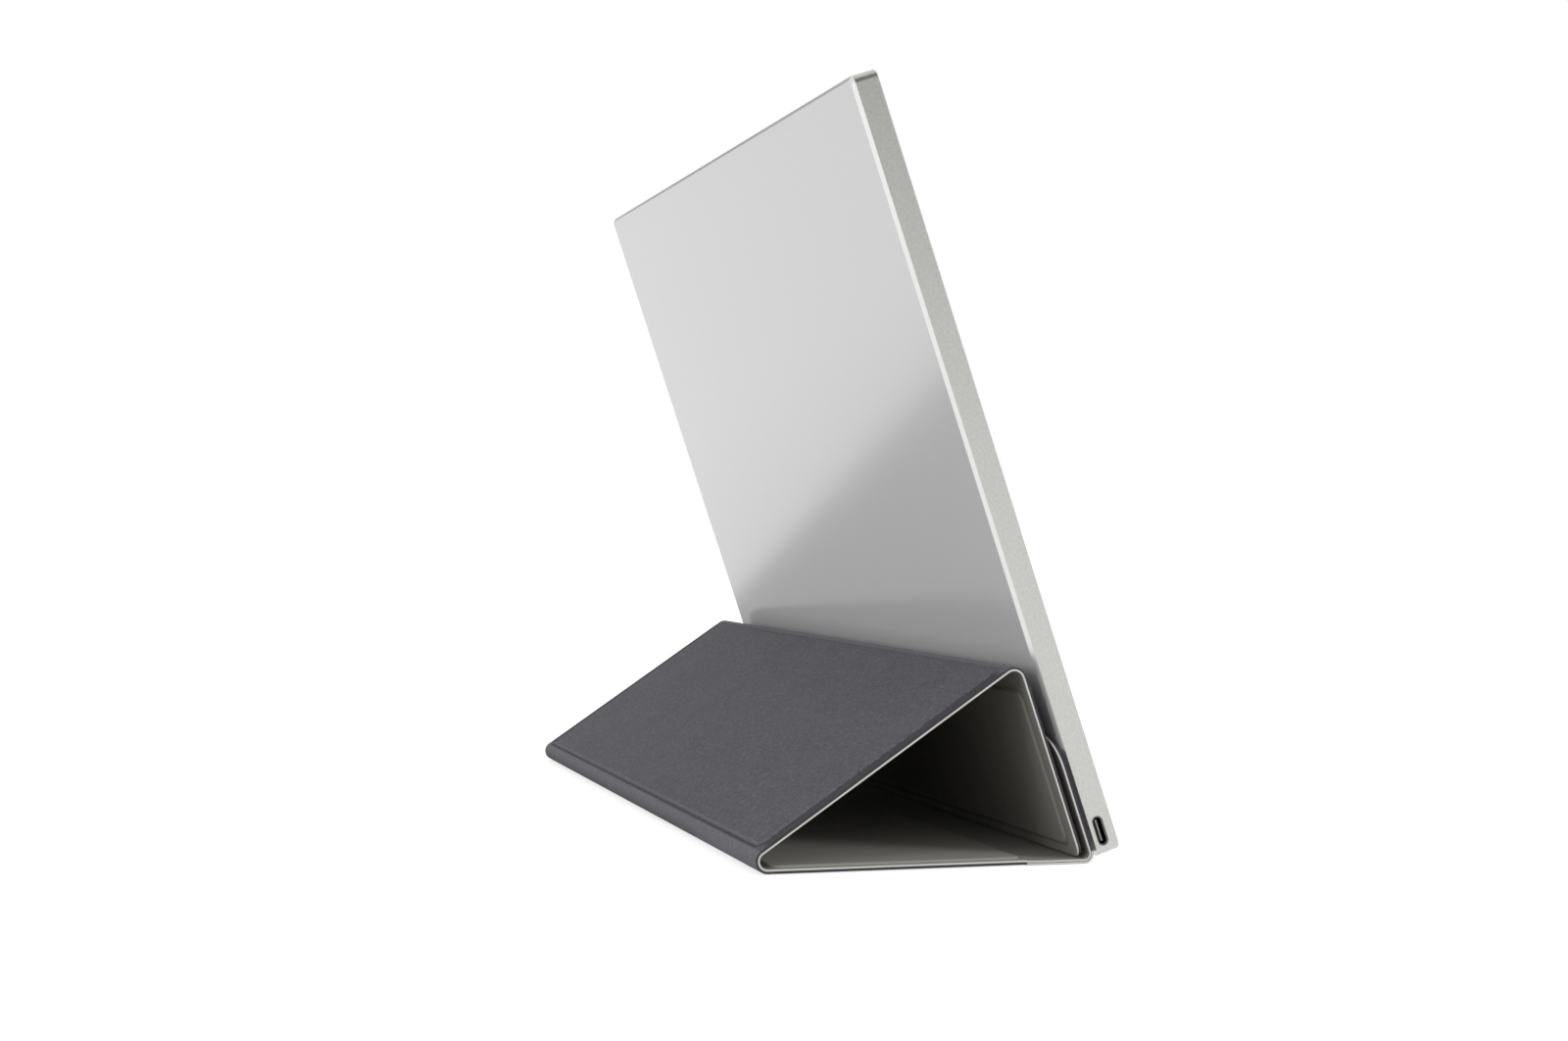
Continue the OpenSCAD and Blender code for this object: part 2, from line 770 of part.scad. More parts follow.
// Fold between the flap and the spine

module base_fold_leather() {
    color("dimgray")
        fold_strip(base_y, base_z, base_fold_r, base_fold_r + leather_t, down_course, base_turn);
}

module base_fold_lining() {
    color("darkgray")
        fold_strip(base_y, base_z, base_fold_r - lining_t, base_fold_r, down_course, base_turn);
}

// Floor panel and spine; the spine lies lower than the margins by the leather's embossing

module floor_plan() {
    translate([-cover_w / 2, spine_len]) square([cover_w, floor_len - spine_len]);
}

module spine_plan() {
    translate([-cover_w / 2, 0]) square([cover_w, spine_len]);
}

module floor_leather() {
    placed(base_y, floor_bond, 0) union() {
        leather_panel(floor_field) floor_plan();
        color("dimgray") translate([0, 0, -emboss_out - leather_t]) linear_extrude(leather_t) spine_plan();
    }
}

module floor_lining() {
    placed(base_y, floor_bond, 0) union() {
        lining_panel(floor_field) floor_plan();
        color("darkgray") translate([0, 0, -emboss_out]) linear_extrude(lining_t) spine_plan();
    }
}

module floor_board() {
    placed(base_y, floor_bond, 0) stiffener(floor_field);
}

// Rear fold

module rear_fold_leather() {
    color("dimgray") fold_strip(rear_y, rear_z, rear_fold_r, rear_fold_r + leather_t, 0, rear_turn);
}

module rear_fold_lining() {
    color("darkgray") fold_strip(rear_y, rear_z, rear_fold_r - lining_t, rear_fold_r, 0, rear_turn);
}

// Slanted panel

module slant_place() {
    start = [rear_y, rear_z] - rear_fold_r * left_of(slant_course);
    placed(start[0], start[1], slant_course) children();
}

module slant_plan() {
    translate([-cover_w / 2, 0]) square([cover_w, slant_len]);
}

module slant_leather() {
    slant_place() leather_panel(slant_field) slant_plan();
}

module slant_lining() {
    slant_place() lining_panel(slant_field) slant_plan();
}

module slant_board() {
    slant_place() stiffener(slant_field);
}

// Ridge fold

module ridge_fold_leather() {
    color("dimgray")
        fold_strip(ridge_y, ridge_z, ridge_fold_r, ridge_fold_r + leather_t, slant_course, ridge_turn);
}

module ridge_fold_lining() {
    color("darkgray")
        fold_strip(ridge_y, ridge_z, ridge_fold_r - lining_t, ridge_fold_r, slant_course, ridge_turn);
}

// Inner panel

module inner_place() {
    start = [ridge_y, ridge_z] - ridge_fold_r * left_of(down_course);
    placed(start[0], start[1], down_course) children();
}

module inner_leather() {
    inner_place() leather_panel(inner_field) round_ended(cover_w, inner_len, tip_r);
}

module inner_lining() {
    inner_place() lining_panel(inner_field) round_ended(cover_w, inner_len, tip_r);
}

module inner_board() {
    inner_place() stiffener(inner_field)
        magnet_row(inner_magnet_count, inner_magnet_len + 2 * magnet_gap, inner_magnet_h + 2 * magnet_gap,
            inner_magnet_u);
}

module inner_magnets() {
    inner_place() magnets(inner_magnet_count, inner_magnet_len, inner_magnet_h, inner_magnet_u);
}

rear_housing();
cover_glass();
glass_tape();
display_panel();
optical_films();
light_guide();
reflector_sheet();
backlight_tray();
lamp_strip();
panel_frame();
driver_board();
display_cable();
main_board();
side_board();
side_cable();
board_screws();
usb_c_port_near();
usb_c_port_far();
speaker_left();
speaker_right();
steel_keeper();
power_button();
menu_rocker();
flap_leather();
flap_lining();
flap_board();
flap_magnets();
base_fold_leather();
base_fold_lining();
floor_leather();
floor_lining();
floor_board();
rear_fold_leather();
rear_fold_lining();
slant_leather();
slant_lining();
slant_board();
ridge_fold_leather();
ridge_fold_lining();
inner_leather();
inner_lining();
inner_board();
inner_magnets();
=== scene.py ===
# %% [markdown]
# This lesson dresses a portable monitor that stands on its own folded cover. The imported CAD
# model gives every piece its place and size, and the cells below give the pieces their looks.
# The cover's two skins are bent from flat sheets, the metal parts get worked edges, and every
# surface gets a procedural finish.

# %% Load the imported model
import json
from math import ceil, copysign, cos, exp, pi, radians, sin, sqrt

import bmesh
import bpy
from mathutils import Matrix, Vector

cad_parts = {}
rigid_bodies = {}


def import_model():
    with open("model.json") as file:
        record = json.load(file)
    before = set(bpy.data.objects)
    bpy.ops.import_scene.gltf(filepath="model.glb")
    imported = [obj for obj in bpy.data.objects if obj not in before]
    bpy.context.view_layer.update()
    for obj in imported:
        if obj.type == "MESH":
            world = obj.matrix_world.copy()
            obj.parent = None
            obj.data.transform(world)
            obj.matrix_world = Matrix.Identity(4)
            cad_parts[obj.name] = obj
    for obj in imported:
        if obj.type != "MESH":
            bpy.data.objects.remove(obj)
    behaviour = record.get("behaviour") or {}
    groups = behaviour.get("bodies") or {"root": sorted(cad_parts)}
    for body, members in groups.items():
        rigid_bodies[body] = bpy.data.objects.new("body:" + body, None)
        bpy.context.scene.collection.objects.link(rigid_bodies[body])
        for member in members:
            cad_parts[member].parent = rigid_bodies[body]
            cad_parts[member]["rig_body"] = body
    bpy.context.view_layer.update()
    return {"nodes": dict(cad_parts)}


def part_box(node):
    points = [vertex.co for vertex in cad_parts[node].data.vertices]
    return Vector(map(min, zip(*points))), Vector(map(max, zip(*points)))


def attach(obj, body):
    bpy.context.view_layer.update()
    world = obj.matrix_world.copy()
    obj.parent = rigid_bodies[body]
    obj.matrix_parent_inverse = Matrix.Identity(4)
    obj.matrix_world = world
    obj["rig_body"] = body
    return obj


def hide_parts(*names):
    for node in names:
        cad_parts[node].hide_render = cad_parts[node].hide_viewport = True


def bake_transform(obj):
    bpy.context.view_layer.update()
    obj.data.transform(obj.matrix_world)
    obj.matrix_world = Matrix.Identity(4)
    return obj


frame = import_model()
NODES = frame["nodes"]
MM = 0.001

# %% [markdown]
# The camera stands behind the monitor and to its left, just above the table. Its place was
# worked out from the straight edges in the photograph, so it is kept as one point, one heading
# and one lens. A camera with no roll needs only a turn round Z and a small tilt.

# %% Place the camera
LENS = 57.56
SENSOR = 36
NEAREST_SEEN = 0.01
CAMERA_PLACE = Vector((-0.878186, 0.233782, 0.101082))
HEADING = radians(-14.936)
TILT = radians(0.06)

camera = bpy.data.objects.new("camera", bpy.data.cameras.new("camera"))
bpy.context.scene.collection.objects.link(camera)
camera.data.lens = LENS
camera.data.sensor_width = SENSOR
camera.data.clip_start = NEAREST_SEEN
camera.location = CAMERA_PLACE
camera.rotation_euler = (pi / 2 + TILT, 0, HEADING - pi / 2)
bpy.context.scene.camera = camera
print("camera heading", round(HEADING * 180 / pi, 2), "degrees from +X")

# %% [markdown]
# Every finish here is built from shader nodes, and every repeated shape from geometry nodes. One
# small helper adds a node of either kind, sets its options and fills its inputs, with a value or
# with a link from another node, so that a tree reads as a short recipe. Colours are written as
# the levels that a picture shows, and a second helper turns those levels into linear light.

# %% A helper for nodes and colours
def add(tree, kind, inputs=None, **options):
    """Adds a node. Inputs are named sockets, each given a value or another node's output."""
    node = tree.nodes.new(kind)
    for option, value in options.items():
        setattr(node, option, value)
    for socket, value in (inputs or {}).items():
        if isinstance(value, bpy.types.NodeSocket):
            tree.links.new(value, node.inputs[socket])
        else:
            node.inputs[socket].default_value = value
    return node


def linear(level):
    """An sRGB level from 0 to 255 as linear light."""
    share = level / 255
    return share / 12.92 if share <= 0.04045 else ((share + 0.055) / 1.055) ** 2.4


def tint(red, green=None, blue=None):
    """A colour from its three sRGB levels, or a grey from one."""
    green = red if green is None else green
    blue = green if blue is None else blue
    return (linear(red), linear(green), linear(blue), 1)


print("a middle grey is", round(tint(128)[0], 3), "in linear light")

# %% [markdown]
# A finish is a Principled material with the textures that feed it. Its methods name what a
# finish is made from: where a point lies, on the piece or on its flat sheet, the grains and cells
# found there, and the ways to join numbers and colours. Noise stays close to its middle value,
# so it is spread over the wanted range from the values that most of it lies between.

# %% Finishes from textures
NOISE_RANGE = (0.3, 0.7)


class Finish:
    """A Principled material and the texture nodes that feed it."""

    def __init__(self, name, colour, roughness, metallic=0.0, **sockets):
        self.material = bpy.data.materials.new(name)
        self.material.use_nodes = True
        self.tree = self.material.node_tree
        self.surface = self.tree.nodes["Principled BSDF"]
        self.set("Base Color", colour)
        self.set("Roughness", roughness)
        self.set("Metallic", metallic)
        for socket, value in sockets.items():
            self.set(socket.replace("_", " "), value)

    def set(self, socket, value):
        """Gives one input of the surface a value or a link."""
        if isinstance(value, bpy.types.NodeSocket):
            self.tree.links.new(value, self.surface.inputs[socket])
        else:
            self.surface.inputs[socket].default_value = value

    def places(self, turn=(0, 0, 0), scale=(1, 1, 1)):
        """Where each point of the piece is, in metres, turned and stretched."""
        source = add(self.tree, "ShaderNodeTexCoord").outputs["Object"]
        mapping = add(self.tree, "ShaderNodeMapping",
                      {"Vector": source, "Rotation": turn, "Scale": scale})
        return mapping.outputs["Vector"]

    def on_sheet(self, scale=(1, 1, 1)):
        """Where each point was on the flat sheet, in metres."""
        source = add(self.tree, "ShaderNodeUVMap", uv_map="flat").outputs["UV"]
        mapping = add(self.tree, "ShaderNodeMapping", {"Vector": source, "Scale": scale})
        return mapping.outputs["Vector"]

    def noise(self, places, size, detail=2.0):
        """Soft noise whose features are about size metres across."""
        return add(self.tree, "ShaderNodeTexNoise",
                   {"Vector": places, "Scale": 1 / size, "Detail": detail}).outputs["Fac"]

    def cells(self, places, size):
        """Distance to the nearest of scattered points about size metres apart."""
        return add(self.tree, "ShaderNodeTexVoronoi",
                   {"Vector": places, "Scale": 1 / size}).outputs["Distance"]

    def maths(self, operation, first, second=0.0):
        """Two numbers joined by one operation."""
        return add(self.tree, "ShaderNodeMath", {0: first, 1: second},
                   operation=operation).outputs["Value"]

    def weighted(self, *parts):
        """The sum of several numbers, each given with its weight."""
        total = 0.0
        for value, weight in parts:
            total = add(self.tree, "ShaderNodeMath", {0: value, 1: weight, 2: total},
                        operation="MULTIPLY_ADD").outputs["Value"]
        return total

    def spread(self, value, low, high, start=0.0, end=1.0):
        """Maps a number from the range start to end onto the range low to high."""
        return add(self.tree, "ShaderNodeMapRange", {"Value": value, "From Min": start, "From Max": end,
                                                     "To Min": low, "To Max": high}).outputs["Result"]

    def marked(self, name):
        """A number that each point of the piece carries under a name."""
        return add(self.tree, "ShaderNodeAttribute", attribute_name=name).outputs["Fac"]

    def between(self, factor, first, second):
        """Mixes two colours. Their sockets are found by type, because their names repeat."""
        node = add(self.tree, "ShaderNodeMix", {"Factor": factor}, data_type="RGBA")
        colours = [socket for socket in node.inputs if socket.type == "RGBA"]
        for socket, value in zip(colours, (first, second)):
            if isinstance(value, bpy.types.NodeSocket):
                self.tree.links.new(value, socket)
            else:
                socket.default_value = value
        return next(socket for socket in node.outputs if socket.type == "RGBA")

    def worn(self, colour, painted_light, pressed_and_shade):
        """A colour that goes lighter where a point's mark is above 0, as painted light, and darker below
        0, as pressed colour and painted shade.
        """
        press_and_light_mark = self.marked("press_and_light_mark")
        colour = self.between(self.spread(press_and_light_mark, 0, 1), colour, painted_light)
        return self.between(self.spread(press_and_light_mark, 1, 0, -1, 0), colour, pressed_and_shade)

    def bump(self, height, depth, strength=1.0):
        """Raises the surface by height times depth, in metres."""
        node = add(self.tree, "ShaderNodeBump",
                   {"Height": height, "Strength": strength, "Distance": depth})
        self.set("Normal", node.outputs["Normal"])


print("most noise lies between", *NOISE_RANGE)

# %% [markdown]
# The cover's outer skin is charcoal leather with a fine grain. The grain is pebbles a little
# under a millimetre across, so it is made from scattered cells, with soft noise for the slow
# change of tone that real hide shows. It reads the flat sheet's coordinates, so that the grain
# follows the folds and runs on from one piece of the skin to the next. Each point of a skin
# also carries a mark. Below 0 the colour is darker: pressed colour and painted shade in the
# margins, and painted shade in the groove. Above 0 it is lighter: a painted highlight on the
# lip of a field, and painted light on the folds.

# %% Leather
PEBBLE = 0.9 * MM
PORE = 0.45 * MM
MOTTLE = 2.4 * MM
TONE = 25 * MM
GRAIN_TO_SHADE = (0, 1, 0.75, 1.3)
HIDE_DARK = tint(74, 73, 78)
HIDE_LIGHT = tint(100, 99, 104)
# Painted light for the lips and folds, then pressed colour with painted shade for the margins and painted
# shade for the grooves.
HIDE_PAINTED_LIGHT = tint(132, 130, 137)
HIDE_PRESSED_AND_SHADED = tint(56, 54, 61)
HIDE_ROUGHNESS = (0.58, 0.75)
GRAIN_RELIEF = 0.08 * MM


def leather():
    """Charcoal leather with a fine pebble grain."""
    finish = Finish("charcoal_leather", tint(92, 91, 96), 0.65, Specular_IOR_Level=0.08)
    flat = finish.on_sheet()
    pebbles = finish.cells(flat, PEBBLE)
    pores = finish.noise(flat, PORE)
    mottle = finish.noise(flat, MOTTLE, 3)
    tone = finish.noise(flat, TONE)
    grain = finish.weighted((pebbles, 0.7), (pores, 0.7), (mottle, 0.4), (tone, 0.2))
    colour = finish.between(finish.spread(grain, *GRAIN_TO_SHADE), HIDE_DARK, HIDE_LIGHT)
    finish.set("Base Color", finish.worn(colour, HIDE_PAINTED_LIGHT, HIDE_PRESSED_AND_SHADED))
    finish.set("Roughness", finish.spread(pores, *HIDE_ROUGHNESS, *NOISE_RANGE))
    finish.bump(finish.weighted((pebbles, 1), (pores, 0.5)), GRAIN_RELIEF, 0.8)
    return finish.material


LEATHER = leather()
print("outer skin:", LEATHER.name)

# %% [markdown]
# The inner skin is warm grey microfibre, a cloth with a nap so short that it only shows as a
# soft mottle. Fine noise makes the nap, and noise that is stretched along the strip makes the
# brushed direction. Both skins are trimmed through. The leather's cut edge is dyed dark, and the
# lining's shows its pale core.

# %% Lining and trimmed edges
NAP = 0.4 * MM
BRUSHED = 9 * MM
ALONG_STRIP = (1, 0.25, 1)
NAP_TO_SHADE = (0, 1, 0.45, 1.0)
CLOTH_DARK = tint(126, 124, 118)
CLOTH_LIGHT = tint(142, 140, 134)
# Painted light for the lips, then painted shade for the grooves.
CLOTH_PAINTED_LIGHT = tint(160, 157, 151)
CLOTH_PAINTED_SHADE = tint(62, 60, 56)
NAP_RELIEF = 0.03 * MM
FIBRE = 0.25 * MM
FIBRE_RELIEF = 0.02 * MM


def lining():
    """Warm grey microfibre with a short nap."""
    finish = Finish("microfibre_lining", tint(134, 132, 126), 0.9, Specular_IOR_Level=0.1,
                    Sheen_Weight=0.05, Sheen_Roughness=0.4)
    nap = finish.noise(finish.on_sheet(), NAP, 3)
    brushed = finish.noise(finish.on_sheet(ALONG_STRIP), BRUSHED)
    shade = finish.spread(finish.weighted((nap, 1), (brushed, 0.5)), *NAP_TO_SHADE)
    colour = finish.between(shade, CLOTH_DARK, CLOTH_LIGHT)
    finish.set("Base Color", finish.worn(colour, CLOTH_PAINTED_LIGHT, CLOTH_PAINTED_SHADE))
    finish.bump(nap, NAP_RELIEF, 0.5)
    return finish.material


def cut_edge(name, colour):
    """The trimmed edge of a skin, slightly fibrous."""
    finish = Finish(name, colour, 0.7, Specular_IOR_Level=0.3)
    fibres = finish.noise(finish.places(scale=(1, 1, 3)), FIBRE)
    finish.set("Roughness", finish.spread(fibres, 0.6, 0.8))
    finish.bump(fibres, FIBRE_RELIEF, 0.5)
    return finish.material


LINING = lining()
DARK_EDGE = cut_edge("leather_edge", tint(58, 57, 61))
LIGHT_EDGE = cut_edge("lining_edge", tint(206, 205, 200))
print("inner skin:", LINING.name, "and edges", DARK_EDGE.name, LIGHT_EDGE.name)

# %% [markdown]
# Each skin is one flat sheet that is bent round three folds. A sheet can follow only one joint,
# so it is cut in three where its panels are flat, and each length crosses one fold. The monitor
# leans back on the cover, and the slanted panel stands at its own angle, so these two angles give
# every course. The folds' centres come from the boxes of the CAD strips, because each strip's
# outermost points lie one outer radius from its centre.

# %% Where the folds are
LEAN = radians(18.4)
SLANT = radians(34.3)
LEATHER_T = 0.7 * MM
LINING_T = 0.7 * MM
EMBOSS_OUT = 0.3 * MM
EMBOSS_IN = 0.7 * MM
BASE_R = 2.2 * MM
REAR_R = 3 * MM
RIDGE_R = 3.5 * MM
DOWN = -pi / 2 - LEAN
UP_FORWARD = pi - SLANT
OVER_RIDGE = 2 * pi + DOWN - UP_FORWARD


class Fold:
    """A fold of the strip: the bond between the skins runs round centre at the fold's radius."""

    def __init__(self, radius, course, turn, centre):
        self.radius = radius
        self.course = course
        self.turn = turn
        self.centre = centre
        self.length = radius * turn

    def blend_points(self):
        """Where a skin starts and ends to follow the second body, across the middle of the fold."""
        middle = self.course + self.turn / 2
        reach = (self.radius + LEATHER_T) * sin(self.turn / 2)
        along = Vector((0, cos(middle), sin(middle))) * reach
        at = Vector((0, *self.centre))
        return at - along, at + along


def fold_from_box(node, radius, course, turn, touches):
    """Reads a fold's centre from its strip's box. Each of touches is a side of the box and the
    direction, from the centre, of the outermost point that touches it."""
    low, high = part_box(node)
    outer = radius + LEATHER_T
    (y_side, y_way), (z_side, z_way) = touches
    y = (low if y_side == "low" else high).y - outer * cos(y_way)
    z = (low if z_side == "low" else high).z - outer * sin(z_way)
    return Fold(radius, course, turn, (y, z))


BASE = fold_from_box("base_fold_leather", BASE_R, DOWN, -DOWN, (("low", pi), ("low", -pi / 2)))
REAR = fold_from_box("rear_fold_leather", REAR_R, 0, UP_FORWARD, (("high", 0), ("low", -pi / 2)))
RIDGE = fold_from_box("ridge_fold_leather", RIDGE_R, UP_FORWARD, OVER_RIDGE,
                      (("low", DOWN - pi / 2), ("high", pi / 2)))
for name, fold in (("base", BASE), ("rear", REAR), ("ridge", RIDGE)):
    print(name, "fold centre", [round(v / MM, 2) for v in fold.centre], "mm")

# %% [markdown]
# Where a board lies between the skins, it pushes both of them out, in a field with round
# corners and a soft step. The height of a skin over a point is therefore worked out from how
# far inside the field the point lies. Just outside the field the press has left a fine groove.

# %% The embossed fields
COVER_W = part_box("slant_leather")[1].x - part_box("slant_leather")[0].x
SIDE_MARGIN = 5.5 * MM
FLOOR_MARGIN = 1.5 * MM
FOLD_MARGIN = 1 * MM
EMBOSS_R = 3.5 * MM
STEP_START = -0.25 * MM
STEP_LEN = 1.05 * MM
GROOVE = 0.18 * MM
GROOVE_AT = -0.55 * MM
GROOVE_WIDE = 0.38 * MM
LIP_AT = 0.6 * MM
LIP_WIDE = 0.3 * MM


def smooth(value):
    """A soft step from 0 to 1."""
    value = min(max(value, 0), 1)
    return value * value * (3 - 2 * value)


def ridge_of(value, middle, wide):
    """A soft ridge of height 1 round the middle."""
    return exp(-((value - middle) / wide) ** 2)


def inside(x, u, field):
    """How far a point lies inside a field's rounded outline. It is negative outside."""
    low, high, margin = field[:3]
    over_x = abs(x) - (COVER_W / 2 - margin - EMBOSS_R)
    over_u = abs(u - (low + high) / 2) - ((high - low) / 2 - EMBOSS_R)
    beyond = sqrt(max(over_x, 0) ** 2 + max(over_u, 0) ** 2)
    return EMBOSS_R - beyond - min(max(over_x, over_u), 0)


def swell(depth):
    """How much of its full height the field has, at a distance inside its outline."""
    return smooth((depth - STEP_START) / STEP_LEN)


def groove(depth, firm):
    """The depth of the pressed groove round the field, where it is pressed this firmly."""
    return GROOVE * firm * ridge_of(depth, GROOVE_AT, GROOVE_WIDE)


print("cover", round(COVER_W / MM, 1), "mm wide")

# %% [markdown]
# The press leaves its mark on the colour, and light and shade are painted on with it. The
# leather's side margins are darker, partly pressed and partly painted shade. The groove gets
# painted shade, the lip of a field gets a painted highlight and the folds get painted light. All
# of it goes into one number for each point, which the two finishes read.

# %% Marks of the press, and painted light and shade
MARGIN_SOFT = 0.5 * MM
MARGIN_END = 2.5 * MM


def beside(x, u, field):
    """How far a point lies in the margin between a field and the side edge, from 0 to 1."""
    low, high, margin = field[:3]
    out = smooth((abs(x) - COVER_W / 2 + margin) / MARGIN_SOFT)
    return out * smooth((u - low) / MARGIN_END) * smooth((high - u) / MARGIN_END)


def firmness(x, u, field):
    """How firmly the press closed: fully beside a field, and by its own share at either end."""
    low, high, _, at_low, at_high = field
    along_field = smooth((u - low) / (high - low))
    return max(beside(x, u, field), at_low + (at_high - at_low) * along_field)


def on_fold(u, fold):
    """How far a point lies on the fold, away from its two ends, from 0 to 1."""
    return smooth(u / MARGIN_SOFT) * smooth((fold.length - u) / MARGIN_SOFT)


def press_and_light_mark(side, firm, depth, fold_share, pressed_shaded_margin, painted_lip_highlight, painted_groove_shade, painted_fold_light):
    """The mark of a point: below 0 for pressed margins with painted shade and the painted shade of the
    groove, above 0 for the painted highlight of the lip and the painted light of the fold.
    """
    # Painted shade in the groove, and pressed colour with painted shade in the side margins.
    pressed_and_shade = max(painted_groove_shade * firm * ridge_of(depth, GROOVE_AT, GROOVE_WIDE), pressed_shaded_margin * side)
    # A painted highlight along the lip of the field, and painted light on the fold.
    painted_light = painted_lip_highlight * firm * (1 - side) * ridge_of(depth, LIP_AT, LIP_WIDE)
    return painted_light + painted_fold_light * fold_share - pressed_and_shade


def panel_length(first, second):
    """The straight length between two folds, along the course on which the first one ends."""
    way = first.course + first.turn
    step_y, step_z = (b - a for a, b in zip(first.centre, second.centre))
    return step_y * cos(way) + step_z * sin(way)


FLAP_H = 36 * MM
SPINE_LEN = 18 * MM
FLOOR_LEN = panel_length(BASE, REAR)
SLANT_LEN = panel_length(REAR, RIDGE)
INNER_TOP = RIDGE.centre[1] - (RIDGE.radius - LINING_T) * cos(DOWN)
INNER_LEN = (INNER_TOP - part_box("inner_lining")[0].z) / -sin(DOWN)
for name, length in (("floor", FLOOR_LEN), ("slant", SLANT_LEN), ("inner", INNER_LEN)):
    print(name, "panel", round(length / MM, 2), "mm long")

# %% [markdown]
# A blank is a closed flat sheet, made as a grid whose lines crowd together where the shape
# changes: at the trimmed edges, at the steps of the fields and round the folds. A place along
# the strip is called u, and is counted from the start of the fold.

# %% Grid lines of a blank
ROUND_OVER = 0.12 * MM
ROUND_STEPS = 3
FINE = 0.3 * MM
COARSE_ACROSS = 18 * MM
COARSE_ALONG = 9 * MM
FOLD_STEP = radians(5)
FIELD_REACH = 5.2 * MM
FIELD_OUTSIDE = 1.2 * MM
CORNER_DEGREES = range(0, 91, 9)
CLOSEST_ACROSS = 0.004 * MM
CLOSEST_ALONG = 0.01 * MM
ALMOST = 1e-6


def thinned(places, closest):
    """Sorted places without those that lie too close to the one before."""
    return [p for i, p in enumerate(places) if i == 0 or p - places[i - 1] > closest]


def steps(low, high, coarse, stretches):
    """Places from low to high, FINE apart inside the stretches and coarse apart elsewhere."""
    marks = sorted({low, high, *[min(max(m, low), high) for s in stretches for m in s[:2]]})
    places = [low]
    for start, end in zip(marks, marks[1:]):
        middle = (start + end) / 2
        sizes = [s[2] if len(s) > 2 else FINE for s in stretches if s[0] <= middle <= s[1]]
        count = max(1, ceil((end - start) / min(sizes, default=coarse) - ALMOST))
        places += [start + (end - start) * (i + 1) / count for i in range(count)]
    return thinned(places, CLOSEST_ACROSS)


def across():
    """The grid's places across the width."""
    half = COVER_W / 2
    rounding = ROUND_OVER / ROUND_STEPS
    fine = [(half - SIDE_MARGIN - FIELD_REACH, half), (-half, SIDE_MARGIN + FIELD_REACH - half)]
    edges = [(half - ROUND_OVER, half, rounding), (-half, ROUND_OVER - half, rounding)]
    return steps(-half, half, COARSE_ACROSS, fine + edges)


def along(low, high, fields, fold, tip):
    """The grid's places along the strip."""
    fine = [(0, fold.length, fold.radius * FOLD_STEP)]
    for start, end, *_ in fields:
        fine += [(start - FIELD_OUTSIDE, start + FIELD_REACH), (end - FIELD_REACH, end + FIELD_OUTSIDE)]
    places = steps(low, high, COARSE_ALONG, fine)
    if tip:
        at, radius = tip
        way = 1 if at == low else -1
        places += [at + way * radius * (1 - cos(radians(a))) for a in CORNER_DEGREES]
        places += [at + way * ROUND_OVER * (i + 1) / ROUND_STEPS for i in range(ROUND_STEPS)]
    return thinned(sorted(places), CLOSEST_ALONG)


print("grid lines across the width:", len(across()))

# %% [markdown]
# A blank's points come in pairs, one on its lower and one on its upper surface. Each holds x, the
# place u and the height h over the bond. The trimmed edges are rounded over a tenth of a
# millimetre, and the free corners are round, so there the outer points of a row are drawn in.

# %% Points of a blank
EDGE_ZONE = 12 * MM
NO_TIP = 1


def edge_drop(distance):
    """How far the surface has dropped at a small distance from a trimmed edge."""
    if distance >= ROUND_OVER:
        return 0
    return ROUND_OVER - sqrt(max(ROUND_OVER ** 2 - (ROUND_OVER - distance) ** 2, 0))


def drawn_in(x, from_tip, radius):
    """Draws a row's outer points in, where the free end has round corners."""
    back = radius - from_tip
    if back <= 0:
        return x
    half = COVER_W / 2 - radius + sqrt(max(radius ** 2 - back ** 2, 0))
    inner = COVER_W / 2 - EDGE_ZONE
    if abs(x) <= inner:
        return x
    return copysign(inner + (abs(x) - inner) * (half - inner) / EDGE_ZONE, x)


def blank_points(facts, heights, marks, xs, us):
    """The pairs of points, the wear of each point and the place of each pair on the strip."""
    tip = facts["tip"]
    points = []
    worn = []
    flat = []
    for u in us:
        from_tip = abs(tip[0] - u) if tip else NO_TIP
        fold_share = on_fold(u, facts["fold"])
        for x in xs:
            px = drawn_in(x, from_tip, tip[1]) if tip else x
            field = max(facts["fields"], key=lambda f: inside(px, u, f))
            depth = inside(px, u, field)
            firm = firmness(px, u, field)
            under, over = heights(u, depth, firm)
            from_side = (COVER_W / 2 - abs(x)) * abs(px / x if x else 1)
            drop = max(edge_drop(from_side), edge_drop(from_tip))
            points += [(px, u, under + drop), (px, u, over - drop)]
            worn += [press_and_light_mark(beside(px, u, field), firm, depth, fold_share, *marks)] * 2
            flat.append((px, u + facts["strip"]))
    return points, worn, flat


print("corners are drawn in over the outer", round(EDGE_ZONE / MM), "mm")

# %% [markdown]
# The faces join neighbouring points: first the two skins, then the side edges and the two ends,
# all with their fronts outwards. Every cut face carries a mark, and a cut face where the pale
# core is bare carries a second one, so that the bending tree can give them their own materials.

# %% Flat blanks
def blank_faces(wide, long):
    """The faces of a grid of pairs: both skins, then the side edges, then the ends."""
    def at(i, j, side):
        return 2 * (j * wide + i) + side

    last, end = wide - 1, long - 1
    faces = []
    for j in range(end):
        for i in range(last):
            faces.append((at(i, j, 1), at(i + 1, j, 1), at(i + 1, j + 1, 1), at(i, j + 1, 1)))
            faces.append((at(i, j, 0), at(i, j + 1, 0), at(i + 1, j + 1, 0), at(i + 1, j, 0)))
    for j in range(end):
        faces.append((at(0, j, 0), at(0, j, 1), at(0, j + 1, 1), at(0, j + 1, 0)))
        faces.append((at(last, j, 0), at(last, j + 1, 0), at(last, j + 1, 1), at(last, j, 1)))
    for i in range(last):
        faces.append((at(i, 0, 0), at(i + 1, 0, 0), at(i + 1, 0, 1), at(i, 0, 1)))
        faces.append((at(i, end, 0), at(i, end, 1), at(i + 1, end, 1), at(i + 1, end, 0)))
    return faces


